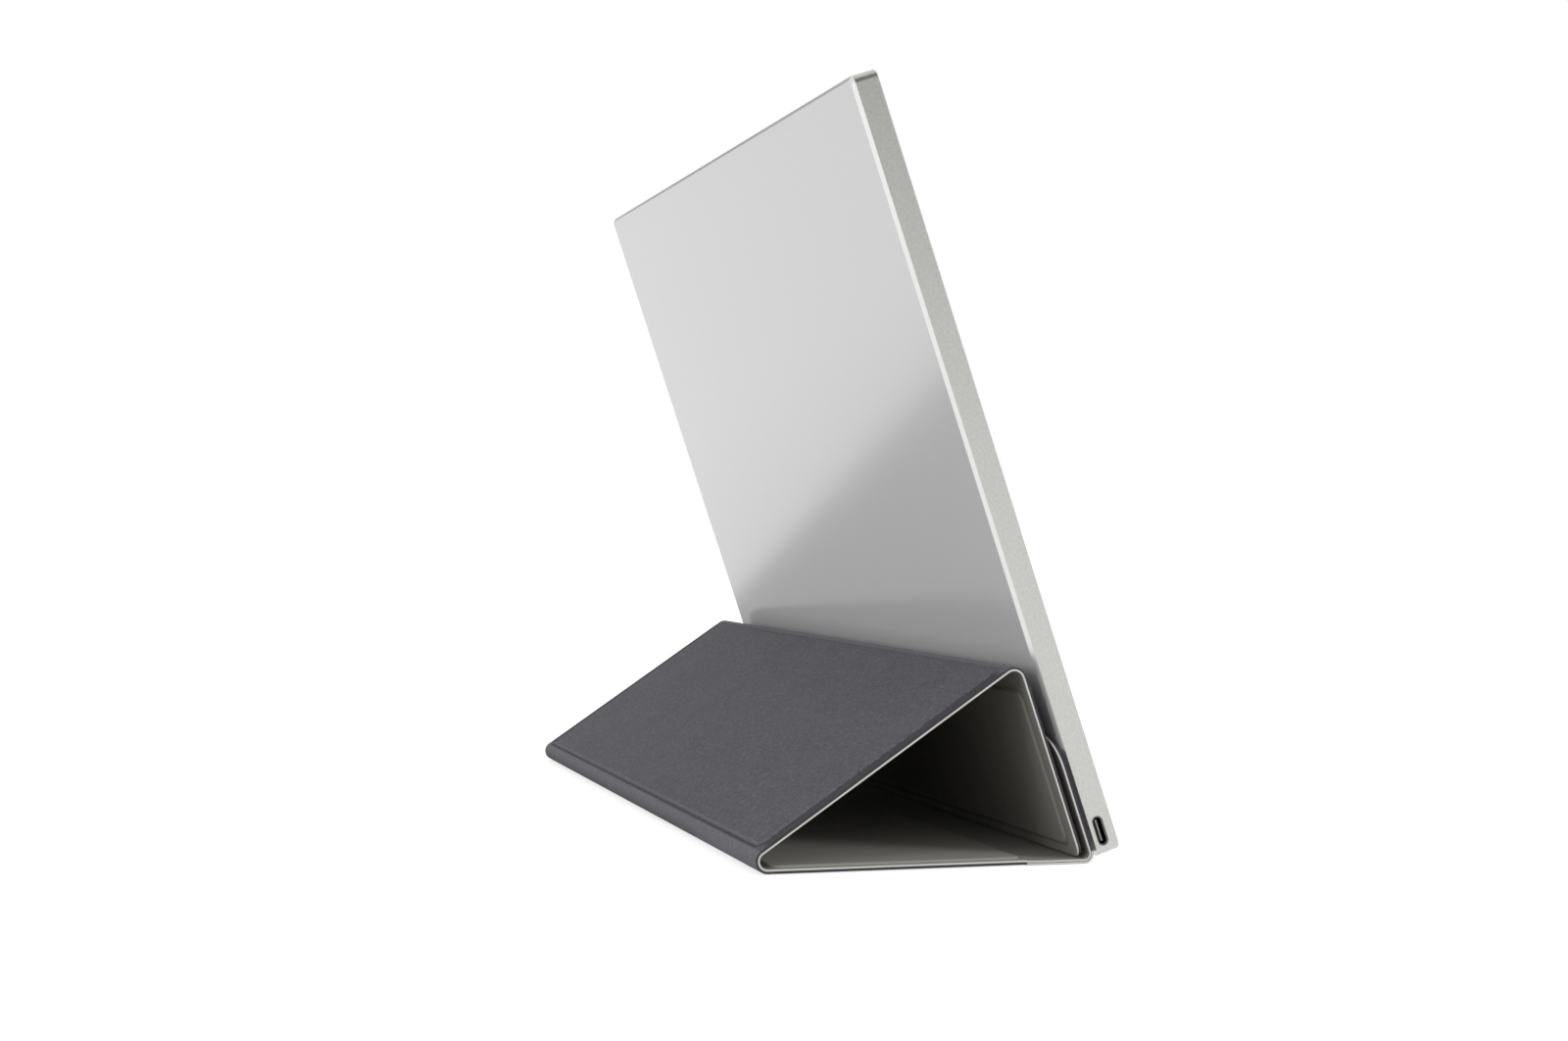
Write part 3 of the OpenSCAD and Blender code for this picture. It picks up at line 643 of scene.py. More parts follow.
def blank(name, facts, heights, marks):
    """A closed flat sheet. heights gives its lower and upper surface at a point, and marks the
    strength of the pressed margins with painted shade, and of the painted lip highlight, groove shade and
    fold light."""
    xs = across()
    us = along(facts["low"], facts["high"], facts["fields"], facts["fold"], facts["tip"])
    points, worn, flat = blank_points(facts, heights, marks, xs, us)
    faces = blank_faces(len(xs), len(us))
    skin_faces = 2 * (len(xs) - 1) * (len(us) - 1)
    cut = [index >= skin_faces for index in range(len(faces))]
    bare_low, bare_high = facts["bare"]
    core = [False] * skin_faces
    for start, end in zip(us, us[1:]):
        core += [bare_low < (start + end) / 2 < bare_high] * 2
    core += [False] * (len(faces) - len(core))
    mesh = bpy.data.meshes.new(name)
    mesh.from_pydata(points, [], faces)
    uv = mesh.uv_layers.new(name="flat")
    for loop in mesh.loops:
        uv.data[loop.index].uv = flat[loop.vertex_index // 2]
    mesh.attributes.new("press_and_light_mark", "FLOAT", "POINT").data.foreach_set("value", worn)
    mesh.attributes.new("cut_edge", "BOOLEAN", "FACE").data.foreach_set("value", cut)
    mesh.attributes.new("bare_core", "BOOLEAN", "FACE").data.foreach_set("value", core)
    return mesh


print("a grid of 3 by 2 pairs has", len(blank_faces(3, 2)), "faces")

# %% [markdown]
# Bending is a rule, so Geometry Nodes do it. A point before the fold keeps to the first course,
# a point inside it turns by its distance divided by the radius, and a point past it leaves along
# the new course. With b the direction at the point, r what sticks out past the fold and h the
# height over the bond, the place is (R - h) sin b + r cos b along Y and r sin b - (R - h) cos b
# along Z from the fold's centre, and x stays as it is.

# %% The bending tree
def bending_tree():
    """A tree that bends a flat blank round one fold."""
    tree = bpy.data.node_groups.new("bend_round_fold", "GeometryNodeTree")
    face = tree.interface
    face.new_socket("Geometry", in_out="INPUT", socket_type="NodeSocketGeometry")
    for socket in ("Radius", "Course", "Turn", "Centre Y", "Centre Z"):
        face.new_socket(socket, in_out="INPUT", socket_type="NodeSocketFloat")
    for socket in ("Skin", "Trimmed edge", "Bare core"):
        face.new_socket(socket, in_out="INPUT", socket_type="NodeSocketMaterial")
    face.new_socket("Geometry", in_out="OUTPUT", socket_type="NodeSocketGeometry")
    given = tree.nodes.new("NodeGroupInput").outputs

    def maths(operation, first, second=0.0):
        return add(tree, "ShaderNodeMath", {0: first, 1: second}, operation=operation).outputs["Value"]

    position = add(tree, "GeometryNodeInputPosition").outputs[0]
    x, u, h = add(tree, "ShaderNodeSeparateXYZ", {0: position}).outputs
    length = maths("MULTIPLY", given["Radius"], given["Turn"])
    held = maths("MINIMUM", maths("MAXIMUM", u, 0.0), length)
    past = maths("SUBTRACT", u, held)
    way = maths("ADD", given["Course"], maths("DIVIDE", held, given["Radius"]))
    arm = maths("SUBTRACT", given["Radius"], h)
    sine, cosine = maths("SINE", way), maths("COSINE", way)
    y = maths("ADD", maths("MULTIPLY", arm, sine), maths("MULTIPLY", past, cosine))
    z = maths("SUBTRACT", maths("MULTIPLY", past, sine), maths("MULTIPLY", arm, cosine))
    bent = add(tree, "ShaderNodeCombineXYZ", {0: x, 1: maths("ADD", y, given["Centre Y"]),
                                              2: maths("ADD", z, given["Centre Z"])})
    moved = add(tree, "GeometryNodeSetPosition",
                {"Geometry": given["Geometry"], "Position": bent.outputs[0]})
    whole = add(tree, "GeometryNodeRealizeInstances", {"Geometry": moved.outputs[0]})
    dressed = add(tree, "GeometryNodeSetMaterial",
                  {"Geometry": whole.outputs[0], "Material": given["Skin"]})
    for mark, material in (("cut_edge", "Trimmed edge"), ("bare_core", "Bare core")):
        chosen = add(tree, "GeometryNodeInputNamedAttribute", {"Name": mark}, data_type="BOOLEAN")
        dressed = add(tree, "GeometryNodeSetMaterial", {"Geometry": dressed.outputs[0],
                                                        "Selection": chosen.outputs[0],
                                                        "Material": given[material]})
    add(tree, "NodeGroupOutput", {0: dressed.outputs[0]})
    return tree


def run_tree(name, mesh, tree, values):
    """Runs a tree on a mesh with the named inputs and returns the result as a plain object."""
    source = bpy.data.objects.new(name + "_source", mesh)
    bpy.context.scene.collection.objects.link(source)
    modifier = source.modifiers.new("tree", "NODES")
    modifier.node_group = tree
    sockets = {i.name: i.identifier for i in tree.interface.items_tree if i.in_out == "INPUT"}
    for socket, value in values.items():
        modifier[sockets[socket]] = value
    source.update_tag()
    graph = bpy.context.evaluated_depsgraph_get()
    made = bpy.data.meshes.new_from_object(source.evaluated_get(graph))
    bpy.data.objects.remove(source)
    made.name = name
    result = bpy.data.objects.new(name, made)
    bpy.context.scene.collection.objects.link(result)
    return result


BEND = bending_tree()
print("tree", BEND.name, "has", len(BEND.nodes), "nodes")

# %% [markdown]
# The leather lies on the outside of every fold and the lining on the inside, with the bond
# between them at height 0. So the leather's fields stand out below the bond, and the lining's
# above it. The spine lies lower than the floor panel's rim by the leather's embossing, so the
# bond is lifted past the spine. A field is its low and high end, its side margin, and how firmly
# the press closed at either end.

# %% Heights of the two skins
FLAP_MARGIN = 4 * MM
RIDGE_MARGIN = 4.5 * MM
TIP_MARGIN = 3.5 * MM
FLAP_FIELD = (FLAP_MARGIN, FLAP_H - FOLD_MARGIN, SIDE_MARGIN, 0.5, 0.5)
FLOOR_FIELD = (SPINE_LEN + FOLD_MARGIN, FLOOR_LEN - FOLD_MARGIN, FLOOR_MARGIN, 0.8, 0.8)
SLANT_FIELD = (FOLD_MARGIN, SLANT_LEN - FOLD_MARGIN, SIDE_MARGIN, 1.0, 0.1)
INNER_FIELD = (RIDGE_MARGIN, INNER_LEN - TIP_MARGIN, SIDE_MARGIN, 0.5, 0.8)
LIFT_RAMP = 1.6 * MM
SOFT_GROOVE = 0.4


def shifted(field, by):
    """A field moved along the strip."""
    return (field[0] + by, field[1] + by, *field[2:])


def lift_past_spine(u):
    """The rise of the bond from the spine to the floor panel's rim."""
    return EMBOSS_OUT * smooth((u - BASE.length - SPINE_LEN) / LIFT_RAMP + 0.5)


def leather_heights(lift):
    """The two surfaces of the leather, whose fields stand out below the bond."""
    def heights(u, depth, firm):
        top = lift(u) - EMBOSS_OUT * swell(depth)
        return top - LEATHER_T + groove(depth, firm), top
    return heights


def lining_heights(lift):
    """The two surfaces of the lining, whose fields stand out above the bond."""
    def heights(u, depth, firm):
        bottom = lift(u) + EMBOSS_IN * swell(depth)
        return bottom, bottom + LINING_T - SOFT_GROOVE * groove(depth, firm)
    return heights


def no_lift(_):
    """The rise of the bond of a length that has no spine."""
    return 0.0


print("the bond rises", round(lift_past_spine(FLOOR_LEN) / MM, 2), "mm past the spine")

# %% [markdown]
# Each length of skin is named for the fold that it crosses, and both skins are cut alike. A
# length needs its fold, its two ends, its free end and the radius of its corners if it has one,
# and its place on the whole strip, so that the grain runs on. Round the base fold and along the
# spine the trimmed edge is worn bare and shows the pale core.

# %% Three lengths of skin
FLAP_R = 10 * MM
TIP_R = 4 * MM
NOWHERE = (0.0, 0.0)
TO_REAR = BASE.length + FLOOR_LEN
TO_RIDGE = TO_REAR + REAR.length + SLANT_LEN
INNER_END = RIDGE.length + INNER_LEN

LENGTHS = {
    "flap": dict(
        fold=BASE, low=-FLAP_H, high=BASE.length + FLOOR_LEN / 2, tip=(-FLAP_H, FLAP_R), strip=0.0,
        fields=[shifted(FLAP_FIELD, -FLAP_H), shifted(FLOOR_FIELD, BASE.length)],
        lift=lift_past_spine, bodies=("flap", "floor_panel"), bare=(0.0, BASE.length + SPINE_LEN),
        replaces=("flap_{}", "base_fold_{}"), rests=["flap_board", "floor_board"]),
    "floor": dict(
        fold=REAR, low=-FLOOR_LEN / 2, high=REAR.length + SLANT_LEN / 2, tip=None, strip=TO_REAR,
        fields=[shifted(FLOOR_FIELD, -FLOOR_LEN), shifted(SLANT_FIELD, REAR.length)],
        lift=no_lift, bodies=("floor_panel", "slant_panel"), bare=NOWHERE,
        replaces=("floor_{}", "rear_fold_{}"), rests=["floor_board", "slant_board"]),
    "ridge": dict(
        fold=RIDGE, low=-SLANT_LEN / 2, high=INNER_END, tip=(INNER_END, TIP_R), strip=TO_RIDGE,
        fields=[shifted(SLANT_FIELD, -SLANT_LEN), shifted(INNER_FIELD, RIDGE.length)],
        lift=no_lift, bodies=("slant_panel", "inner_panel"), bare=NOWHERE,
        replaces=("slant_{}", "ridge_fold_{}", "inner_{}"), rests=["slant_board", "inner_board"]),
}
for part, facts in LENGTHS.items():
    print(part, "length", round((facts["high"] - facts["low"]) / MM, 1), "mm")

# %% [markdown]
# Each blank goes through the bending tree with its fold's sizes, and what comes out is a plain
# mesh. It stands for the CAD strips of that skin, which are hidden.

# %% Bend the skins
SKIN_CREASE = radians(50)
# Strengths of the pressed margins with painted shade, the painted lip highlight, the painted groove shade
# and the painted fold light.
LEATHER_MARKS = (0.8, 0.3, 1.0, 0.3)
LINING_MARKS = (0.0, 0.6, 0.5, 0.0)


def bend_skin(kind, part, facts):
    """One length of leather or lining, bent round its fold."""
    outside = kind == "leather"
    heights = (leather_heights if outside else lining_heights)(facts["lift"])
    name = f"{kind}_{part}_length"
    fold = facts["fold"]
    flat = blank(name, facts, heights, LEATHER_MARKS if outside else LINING_MARKS)
    piece = run_tree(name, flat, BEND, {
        "Radius": fold.radius, "Course": fold.course, "Turn": fold.turn,
        "Centre Y": fold.centre[0], "Centre Z": fold.centre[1],
        "Skin": LEATHER if outside else LINING,
        "Trimmed edge": DARK_EDGE if outside else LIGHT_EDGE,
        "Bare core": LIGHT_EDGE})
    piece.data.set_sharp_from_angle(angle=SKIN_CREASE)
    for polygon in piece.data.polygons:
        polygon.use_smooth = True
    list(fold.blend_points())
    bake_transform(piece)
    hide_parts(*[n.format(kind) for n in facts["replaces"]])
    return piece


for kind in ("leather", "lining"):
    for part, facts in LENGTHS.items():
        piece = bend_skin(kind, part, facts)
        print(piece.name, len(piece.data.polygons), "faces")

# %% [markdown]
# Machined and moulded parts never have knife edges: a small rounding catches a thin line of
# light. The CAD shapes are right, so a copy of each is welded, its flat faces are joined, and a
# narrow bevel is put on every sharp edge.

# %% Worked edges
WELD = 0.001 * MM
FLAT = radians(0.4)
CREASE = radians(25)
BEVEL_STEPS = 2


def worked(node, name, width, finishes, choose=None):
    """A copy of a CAD node with rounded edges, which then stands for the node."""
    source = NODES[node]
    shape = bmesh.new()
    shape.from_mesh(source.data)
    bmesh.ops.remove_doubles(shape, verts=shape.verts, dist=WELD)
    bmesh.ops.dissolve_limit(shape, angle_limit=FLAT, verts=shape.verts, edges=shape.edges)
    mesh = bpy.data.meshes.new(name)
    shape.to_mesh(mesh)
    shape.free()
    piece = bpy.data.objects.new(name, mesh)
    bpy.context.scene.collection.objects.link(piece)
    for finish in finishes:
        mesh.materials.append(finish)
    if choose:
        for polygon in mesh.polygons:
            polygon.material_index = choose(polygon)
    for polygon in mesh.polygons:
        polygon.use_smooth = True
    mesh.set_sharp_from_angle(angle=CREASE)
    bevel = piece.modifiers.new("edges", "BEVEL")
    bevel.width = width
    bevel.segments = BEVEL_STEPS
    bevel.limit_method = "ANGLE"
    bevel.angle_limit = CREASE
    bevel.harden_normals = True
    graph = bpy.context.evaluated_depsgraph_get()
    piece.data = bpy.data.meshes.new_from_object(piece.evaluated_get(graph))
    piece.modifiers.clear()
    piece.data.name = name
    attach(piece, source["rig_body"])
    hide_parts(node)
    print(name, len(piece.data.polygons), "faces")


# %% [markdown]
# The housing's metal has three finishes. The sides are bead blasted, a fine speckle of tiny dents.
# The back is satin, with a faint grain along the width, and most of its light is soft: only a
# weak, clear mirror image shows over it. The bevel round the back was cut last and left polished.

# %% Three finishes of aluminium
DENT = 0.22 * MM
DENT_RELIEF = 0.015 * MM
SIDE_MOTTLE = 0.9 * MM
SIDE_TO_SHADE = (0, 1, 0.35, 0.65)
SIDE_DARK = tint(191, 191, 187)
SIDE_LIGHT = tint(212, 212, 208)
BACK_DARK = tint(207, 207, 208)
BACK_LIGHT = tint(213, 213, 214)
BACK_GRAIN = 0.25 * MM
ALONG_WIDTH = (0.02, 1, 1)
CUT_LINE = 0.3 * MM


def blasted_aluminium():
    """Bead blasted, anodised aluminium."""
    finish = Finish("bead_blasted_aluminium", tint(201, 202, 197), 0.42, 1.0)
    dents = finish.noise(finish.places(), DENT, 1)
    mottle = finish.noise(finish.places(), SIDE_MOTTLE)
    shade = finish.spread(finish.weighted((dents, 0.6), (mottle, 0.4)), *SIDE_TO_SHADE)
    finish.set("Base Color", finish.between(shade, SIDE_DARK, SIDE_LIGHT))
    finish.set("Roughness", finish.spread(dents, 0.36, 0.48, *NOISE_RANGE))
    finish.bump(dents, DENT_RELIEF, 0.5)
    return finish.material


def satin_aluminium():
    """The back's satin anodised face, with a faint grain along the width."""
    finish = Finish("satin_aluminium", tint(210, 210, 211), 0.13, 0.24, Specular_IOR_Level=0.2)
    grain = finish.noise(finish.places((LEAN, 0, 0), ALONG_WIDTH), BACK_GRAIN, 3)
    finish.set("Base Color", finish.between(grain, BACK_DARK, BACK_LIGHT))
    finish.set("Roughness", finish.spread(grain, 0.11, 0.16, *NOISE_RANGE))
    return finish.material


def polished_aluminium():
    """The bevel's bright cut."""
    finish = Finish("polished_aluminium", tint(221, 221, 219), 0.34, 1.0)
    lines = finish.noise(finish.places(), CUT_LINE, 1)
    finish.set("Roughness", finish.spread(lines, 0.3, 0.38, *NOISE_RANGE))
    return finish.material


BLASTED = blasted_aluminium()
SATIN = satin_aluminium()
POLISHED = polished_aluminium()
print("metal:", BLASTED.name, SATIN.name, POLISHED.name)

# %% [markdown]
# The housing is one part, so the three finishes are shared out among its faces. A face that looks
# straight back and lies outermost is the back, one that looks half aside next to it is the bevel,
# and all the others are blasted.

# %% Housing
UP_FACE = Vector((0, sin(LEAN), cos(LEAN)))
BACK = Vector((0, cos(LEAN), -sin(LEAN)))
OUTERMOST = max(v.co.dot(BACK) for v in NODES["rear_housing"].data.vertices)
LOOKS_BACK = 0.99
LOOKS_ASIDE = (0.5, 0.9)
BACK_DEEP = 0.1 * MM
BEVEL_DEEP = 1.2 * MM
HOUSING_EDGE = 0.1 * MM
HOUSING_FINISHES = [BLASTED, SATIN, POLISHED]


def housing_finish(face):
    """Which of the three finishes a face of the housing gets."""
    facing = face.normal.dot(BACK)
    depth = OUTERMOST - face.center.dot(BACK)
    if facing > LOOKS_BACK and depth < BACK_DEEP:
        return 1
    if LOOKS_ASIDE[0] < facing < LOOKS_ASIDE[1] and depth < BEVEL_DEEP:
        return 2
    return 0


worked("rear_housing", "housing", HOUSING_EDGE, HOUSING_FINISHES, housing_finish)

# %% [markdown]
# Small moulded and plated parts all have a fine random texture, so one function makes their
# finishes from a colour and a roughness. The two buttons are the same blasted metal as the
# sides. A port's shell is plated steel at its mouth. Deeper in, it is black: the tongue's black
# plastic, and painted shade on the shell's inner walls.

# %% Buttons and ports
FINE_GRAIN = 0.4 * MM
FINE_RELIEF = 0.01 * MM
DARKER = 0.93
ROUGHER = 0.06
KEY_EDGE = 0.15 * MM
PORT_EDGE = 0.05 * MM
SHELL_DEEP = 0.2 * MM
TONGUE_TIP = 1.1 * MM
LOOKS_OUT = 0.9


def plain(name, colour, roughness, metallic=0.0):
    """A moulded, plated or coated finish with a fine random texture."""
    finish = Finish(name, colour, roughness, metallic)
    fine = finish.noise(finish.places(), FINE_GRAIN)
    darker = tuple(c * DARKER for c in colour[:3]) + (1,)
    finish.set("Base Color", finish.between(fine, darker, colour))
    rough = finish.spread(fine, roughness - ROUGHER, roughness + ROUGHER, *NOISE_RANGE)
    finish.set("Roughness", rough)
    finish.bump(fine, FINE_RELIEF, 0.4)
    return finish.material


PORT_METAL = plain("port_steel", tint(122), 0.35, 1.0)
# Black for the tongue's plastic, and painted shade on the shell's walls deeper than its mouth.
PORT_BLACK = plain("port_plastic_and_painted_shade", tint(20), 0.4)
PORT_MOUTH = abs(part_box("usb_c_port_near")[0].x)


def port_finish(face):
    """The shell's mouth and the tongue's tip are steel. Deeper in, the socket is black: the tongue's
    plastic, and painted shade on the shell's inner walls.
    """
    deep = PORT_MOUTH - abs(face.center.x)
    tip = abs(face.normal.x) > LOOKS_OUT and deep < TONGUE_TIP + SHELL_DEEP
    return int(deep > SHELL_DEEP and not tip)


for node, name in (("power_button", "power_key"), ("menu_rocker", "menu_key")):
    worked(node, name, KEY_EDGE, [BLASTED])
for node, name in (("usb_c_port_near", "near_port"), ("usb_c_port_far", "far_port")):
    worked(node, name, PORT_EDGE, [PORT_METAL, PORT_BLACK], port_finish)

# %% [markdown]
# Each port's tongue carries a row of plated contacts on both of its faces. A row repeats at one
# pitch, so Geometry Nodes put a small pad on each point of a line, set the same row against
# the other face, and then turn and place both with the monitor's lean.

# %% Contacts in the ports
CONTACT_COUNT = 12
CONTACT_PITCH = 0.5 * MM
CONTACT_SIZE = (2.6 * MM, 0.05 * MM, 0.27 * MM)
TONGUE_HALF = 0.36 * MM
TIP_BARE = 0.6 * MM


def contact_tree():
    """Two rows of pads, one on each face of a tongue."""
    tree = bpy.data.node_groups.new("rows_of_contacts", "GeometryNodeTree")
    face = tree.interface
    face.new_socket("Geometry", in_out="INPUT", socket_type="NodeSocketGeometry")
    face.new_socket("Count", in_out="INPUT", socket_type="NodeSocketInt")
    face.new_socket("Pitch", in_out="INPUT", socket_type="NodeSocketFloat")
    face.new_socket("Spacing", in_out="INPUT", socket_type="NodeSocketFloat")
    for socket in ("Pad size", "Middle", "Turn"):
        face.new_socket(socket, in_out="INPUT", socket_type="NodeSocketVector")
    face.new_socket("Plating", in_out="INPUT", socket_type="NodeSocketMaterial")
    face.new_socket("Geometry", in_out="OUTPUT", socket_type="NodeSocketGeometry")
    given = tree.nodes.new("NodeGroupInput").outputs

    def maths(operation, first, second):
        return add(tree, "ShaderNodeMath", {0: first, 1: second}, operation=operation).outputs["Value"]

    reach = maths("MULTIPLY", maths("SUBTRACT", given["Count"], 1), given["Pitch"])
    start = add(tree, "ShaderNodeCombineXYZ", {2: maths("MULTIPLY", reach, -0.5)})
    step = add(tree, "ShaderNodeCombineXYZ", {2: given["Pitch"]})
    line = add(tree, "GeometryNodeMeshLine",
               {"Count": given["Count"], "Start Location": start.outputs[0], "Offset": step.outputs[0]},
               mode="OFFSET")
    pad = add(tree, "GeometryNodeMeshCube", {"Size": given["Pad size"]})
    row = add(tree, "GeometryNodeInstanceOnPoints",
              {"Points": line.outputs[0], "Instance": pad.outputs[0]})
    both = add(tree, "GeometryNodeJoinGeometry")
    for side in (-1, 1):
        aside = add(tree, "ShaderNodeCombineXYZ", {1: maths("MULTIPLY", given["Spacing"], side)})
        moved = add(tree, "GeometryNodeTransform",
                    {"Geometry": row.outputs[0], "Translation": aside.outputs[0]})
        tree.links.new(moved.outputs[0], both.inputs[0])
    placed = add(tree, "GeometryNodeTransform",
                 {"Geometry": both.outputs[0], "Rotation": given["Turn"], "Translation": given["Middle"]})
    whole = add(tree, "GeometryNodeRealizeInstances", {"Geometry": placed.outputs[0]})
    plated = add(tree, "GeometryNodeSetMaterial",
                 {"Geometry": whole.outputs[0], "Material": given["Plating"]})
    add(tree, "NodeGroupOutput", {0: plated.outputs[0]})
    return tree


CONTACTS = contact_tree()
GOLD = plain("contact_gold", tint(214, 178, 96), 0.25, 1.0)
for node, name in (("usb_c_port_near", "near_contacts"), ("usb_c_port_far", "far_contacts")):
    low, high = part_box(node)
    middle = (low + high) / 2
    middle.x = copysign(PORT_MOUTH - TONGUE_TIP - TIP_BARE - CONTACT_SIZE[0] / 2, middle.x)
    rows = run_tree(name, bpy.data.meshes.new(name), CONTACTS, {
        "Count": CONTACT_COUNT, "Pitch": CONTACT_PITCH, "Spacing": TONGUE_HALF, "Pad size": CONTACT_SIZE,
        "Middle": tuple(middle), "Turn": (-LEAN, 0.0, 0.0), "Plating": GOLD})
    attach(rows, "monitor")
    print(name, len(rows.data.polygons), "faces")

# %% [markdown]
# The front is one sheet of black-edged glass. The print under the glass is the black border, and
# inside it the dark panel shows. Both lie under the same glossy surface, so one material holds
# them, with a mask from the place across and up the sheet.

# %% Glass
PICTURE_W = 344.7 * MM
PICTURE_H = 215.4 * MM
TOP_BORDER = 2.6 * MM
SMEAR = 30 * MM
GLASS_EDGE = 0.12 * MM
BORDER_BLACK = tint(9)
SCREEN_DARK = tint(22, 23, 27)


def front_glass():
    """Glossy glass over a black border and a dark screen."""
    finish = Finish("front_glass", tint(14), 0.05, Coat_Weight=0.5, Coat_Roughness=0.03)
    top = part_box("display_panel")[1].dot(UP_FACE) - TOP_BORDER
    middle = top - PICTURE_H / 2
    places = finish.places()
    parts = add(finish.tree, "ShaderNodeSeparateXYZ", {0: places})
    up = add(finish.tree, "ShaderNodeVectorMath", {0: places, 1: UP_FACE}, operation="DOT_PRODUCT")
    off_x = finish.maths("ABSOLUTE", parts.outputs["X"])
    off_up = finish.maths("ABSOLUTE", finish.maths("SUBTRACT", up.outputs["Value"], middle))
    in_x = finish.maths("LESS_THAN", off_x, PICTURE_W / 2)
    in_up = finish.maths("LESS_THAN", off_up, PICTURE_H / 2)
    in_picture = finish.maths("MULTIPLY", in_x, in_up)
    smear = finish.noise(places, SMEAR, 3)
    finish.set("Base Color", finish.between(in_picture, BORDER_BLACK, SCREEN_DARK))
    finish.set("Roughness", finish.spread(smear, 0.04, 0.08, *NOISE_RANGE))
    return finish.material


GLASS = front_glass()
worked("cover_glass", "glass", GLASS_EDGE, [GLASS])

# %% [markdown]
# The pieces inside are never seen, but they are real and show when the model is taken apart, so
# each keeps its CAD shape and gets a finish of its own. Pieces of one kind share a finish.

# %% Pieces inside
CARRIED = {
    "glass_tape": plain("tape_foam", tint(40), 0.8),
    "panel_frame": plain("black_plastic", tint(30), 0.5),
    "display_panel": plain("panel_glass", tint(30, 34, 38), 0.12),
    "optical_films": plain("optical_film", tint(225), 0.5),
    "light_guide": plain("light_guide", tint(210, 214, 218), 0.2),
    "reflector_sheet": plain("reflector", tint(240), 0.6),
    "backlight_tray": plain("tray_steel", tint(170), 0.35, 1.0),
    "lamp_strip": plain("lamp_strip", tint(244, 222, 200), 0.4),
    "driver_board": plain("circuit_board", tint(26, 84, 54), 0.4),
    "display_cable": plain("flex_cable", tint(178, 118, 48), 0.35),
    "board_screws": plain("screw_steel", tint(120), 0.35, 1.0),
    "speaker_left": plain("speaker_plastic", tint(36), 0.55),
    "steel_keeper": plain("keeper_steel", tint(150), 0.4, 1.0),
    "flap_board": plain("board_core", tint(128, 120, 112), 0.9),
    "flap_magnets": plain("nickel", tint(194, 190, 186), 0.25, 1.0),
}
SHARED = {
    "main_board": "driver_board", "side_board": "driver_board", "side_cable": "display_cable",
    "speaker_right": "speaker_left", "floor_board": "flap_board", "slant_board": "flap_board",
    "inner_board": "flap_board", "inner_magnets": "flap_magnets",
}
for node, source in SHARED.items():
    CARRIED[node] = CARRIED[source]
for node, finish in CARRIED.items():
    NODES[node].data.materials.clear()
    NODES[node].data.materials.append(finish)
print(len(CARRIED), "pieces inside keep their CAD shapes")

# %% [markdown]
# The studio is plain: a white floor, a white surround and three soft lamps. The surround is
# white to the camera, to gloss and through glass, and dimmer as a light, so that the lamps can
# shape the object while a colour still renders about as it is written. The lamps only light: if
# the metal mirrored them too, they would burn white patches into it. The key lamp stands behind
# the monitor, the side lamp in front of its near side, and a weak fill lamp high at the far side.

# %% Surround and lamps
SURROUND_LIGHT = 0.85
LOOK_AT = Vector((0, 0, 0.1))
LAMPS = {
    "key_lamp": dict(place=(-0.6, 2, 0.35), size=1, power=11),
    "side_lamp": dict(place=(-1.1, -1.2, 0.45), size=0.5, power=12),
    "fill_lamp": dict(place=(1.3, -1.2, 1.5), size=1.6, power=1.5),
}


def surround():
    """The white world."""
    world = bpy.data.worlds.new("surround")
    bpy.context.scene.world = world
    world.use_nodes = True
    tree = world.node_tree
    tree.nodes.clear()
    path = add(tree, "ShaderNodeLightPath").outputs
    seen = add(tree, "ShaderNodeMath", {0: path["Is Camera Ray"], 1: path["Is Glossy Ray"]},
               operation="MAXIMUM")
    shown = add(tree, "ShaderNodeMath", {0: seen.outputs[0], 1: path["Is Transmission Ray"]},
                operation="MAXIMUM")
    strength = add(tree, "ShaderNodeMapRange", {"Value": shown.outputs[0], "To Min": SURROUND_LIGHT})
    light = add(tree, "ShaderNodeBackground", {"Color": (1, 1, 1, 1), "Strength": strength.outputs[0]})
    add(tree, "ShaderNodeOutputWorld", {"Surface": light.outputs[0]})


def soft_lamp(name, place, size, power):
    """A square area lamp that looks at the object. It lights, but metal does not mirror it."""
    lamp = bpy.data.lights.new(name, "AREA")
    lamp.size = size
    lamp.energy = power
    holder = bpy.data.objects.new(name, lamp)
    bpy.context.scene.collection.objects.link(holder)
    holder.location = place
    holder.rotation_euler = (LOOK_AT - Vector(place)).to_track_quat("-Z", "Y").to_euler()
    holder.visible_glossy = False


surround()
for name, lamp in LAMPS.items():
    soft_lamp(name, **lamp)
bpy.context.scene.view_settings.view_transform = "Standard"
print("surround at", SURROUND_LIGHT, "and", len(LAMPS), "lamps")

# %% [markdown]
# The floor has to be white and still keep the object's shadow, so its surface is part glow and
# part matt paint: only the paint's share goes dark in the shadow. The glow shows to the camera
# and in reflections alone, so that it lights nothing from below, and it grows with the distance,
# where the paint gets less light from the lamps.

# %% Floor
FLOOR_SIZE = 60
FLOOR_GLOW = 0.74
FAR_GLOW = 0.86
FAR = 1.5
FLOOR_PAINT = 0.42


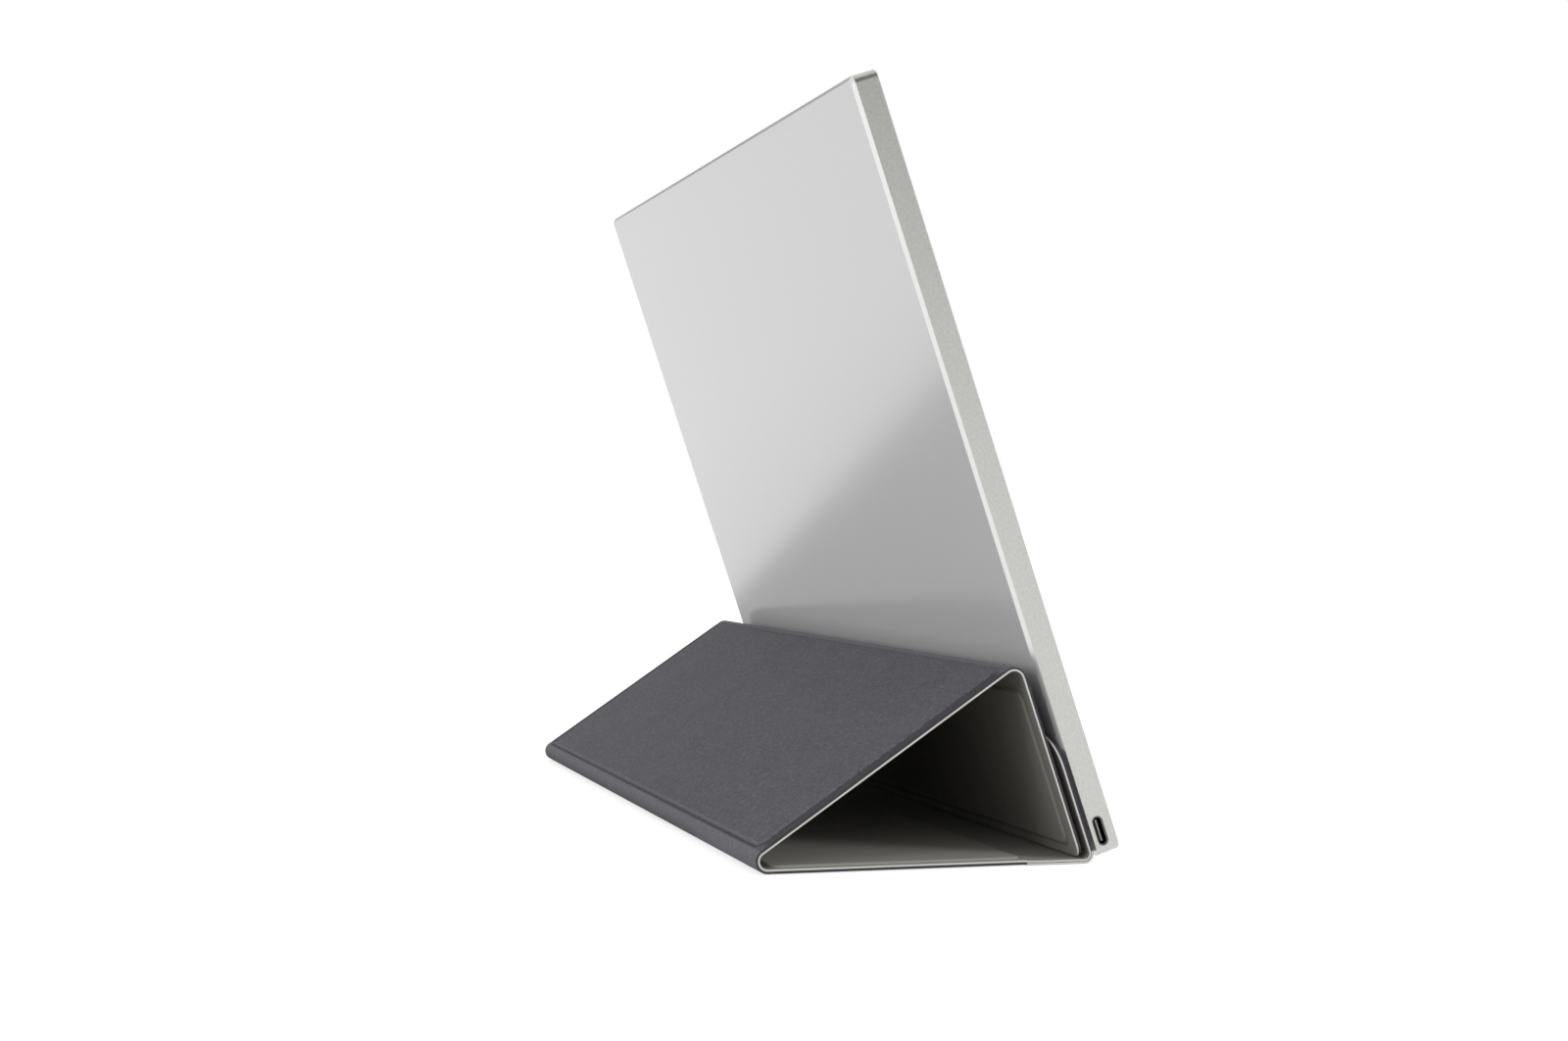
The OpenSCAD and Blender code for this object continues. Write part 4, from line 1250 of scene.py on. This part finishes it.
def white_floor():
    """A wide white floor that keeps a faint shadow."""
    bpy.ops.mesh.primitive_plane_add(size=FLOOR_SIZE)
    plane = bpy.context.object
    plane.name = "floor"
    paint = (FLOOR_PAINT, FLOOR_PAINT, FLOOR_PAINT, 1)
    finish = Finish("white_floor", paint, 1.0, Specular_IOR_Level=0.0)
    finish.set("Emission Color", (1, 1, 1, 1))
    path = add(finish.tree, "ShaderNodeLightPath").outputs
    shown = finish.maths("MAXIMUM", path["Is Camera Ray"], path["Is Glossy Ray"])
    away = add(finish.tree, "ShaderNodeVectorMath", {0: finish.places()}, operation="LENGTH")
    glow = finish.spread(away.outputs["Value"], FLOOR_GLOW, FAR_GLOW, FAR / 3, FAR)
    finish.set("Emission Strength", finish.maths("MULTIPLY", shown, glow))
    plane.data.materials.append(finish.material)


white_floor()
print("floor", FLOOR_SIZE, "m wide")

# %% [markdown]
# Smooth metal shows its shape by what it mirrors, so, as a product photographer would, we stand
# three grey flags where the back, the near side and the top bevel look. They are seen only in
# reflections. The one on the floor stands for the monitor's own shadow, which its back mirrors.

# %% Flags
FLAGS = {
    "floor_flag": dict(
        corners=[(-0.1, -0.793, 0.001), (1.02, 0.6, 0.001), (-0.1, 0.6, 0.001)], level=168),
    "side_flag": dict(
        corners=[(-1.7, 0.6, 0.5), (-0.9, -1.5, 0.5), (-0.9, -1.5, 3), (-1.7, 0.6, 3)], level=60),
    "top_flag": dict(
        corners=[(1.6, -0.9, 0.55), (1.6, 0.9, 0.55), (1.6, 0.9, 1.2), (1.6, -0.9, 1.2)], level=165),
}
HIDDEN_FROM = ("camera", "diffuse", "shadow", "transmission", "volume_scatter")


def flag(name, corners, level):
    """A matt card that only reflections show."""
    mesh = bpy.data.meshes.new(name)
    mesh.from_pydata(corners, [], [tuple(range(len(corners)))])
    card = bpy.data.objects.new(name, mesh)
    bpy.context.scene.collection.objects.link(card)
    finish = Finish(name, (0, 0, 0, 1), 1.0, Specular_IOR_Level=0.0)
    finish.set("Emission Color", tint(level))
    finish.set("Emission Strength", 1.0)
    mesh.materials.append(finish.material)
    for rays in HIDDEN_FROM:
        setattr(card, "visible_" + rays, False)
    print(name, "level", level)


for name, card in FLAGS.items():
    flag(name, **card)
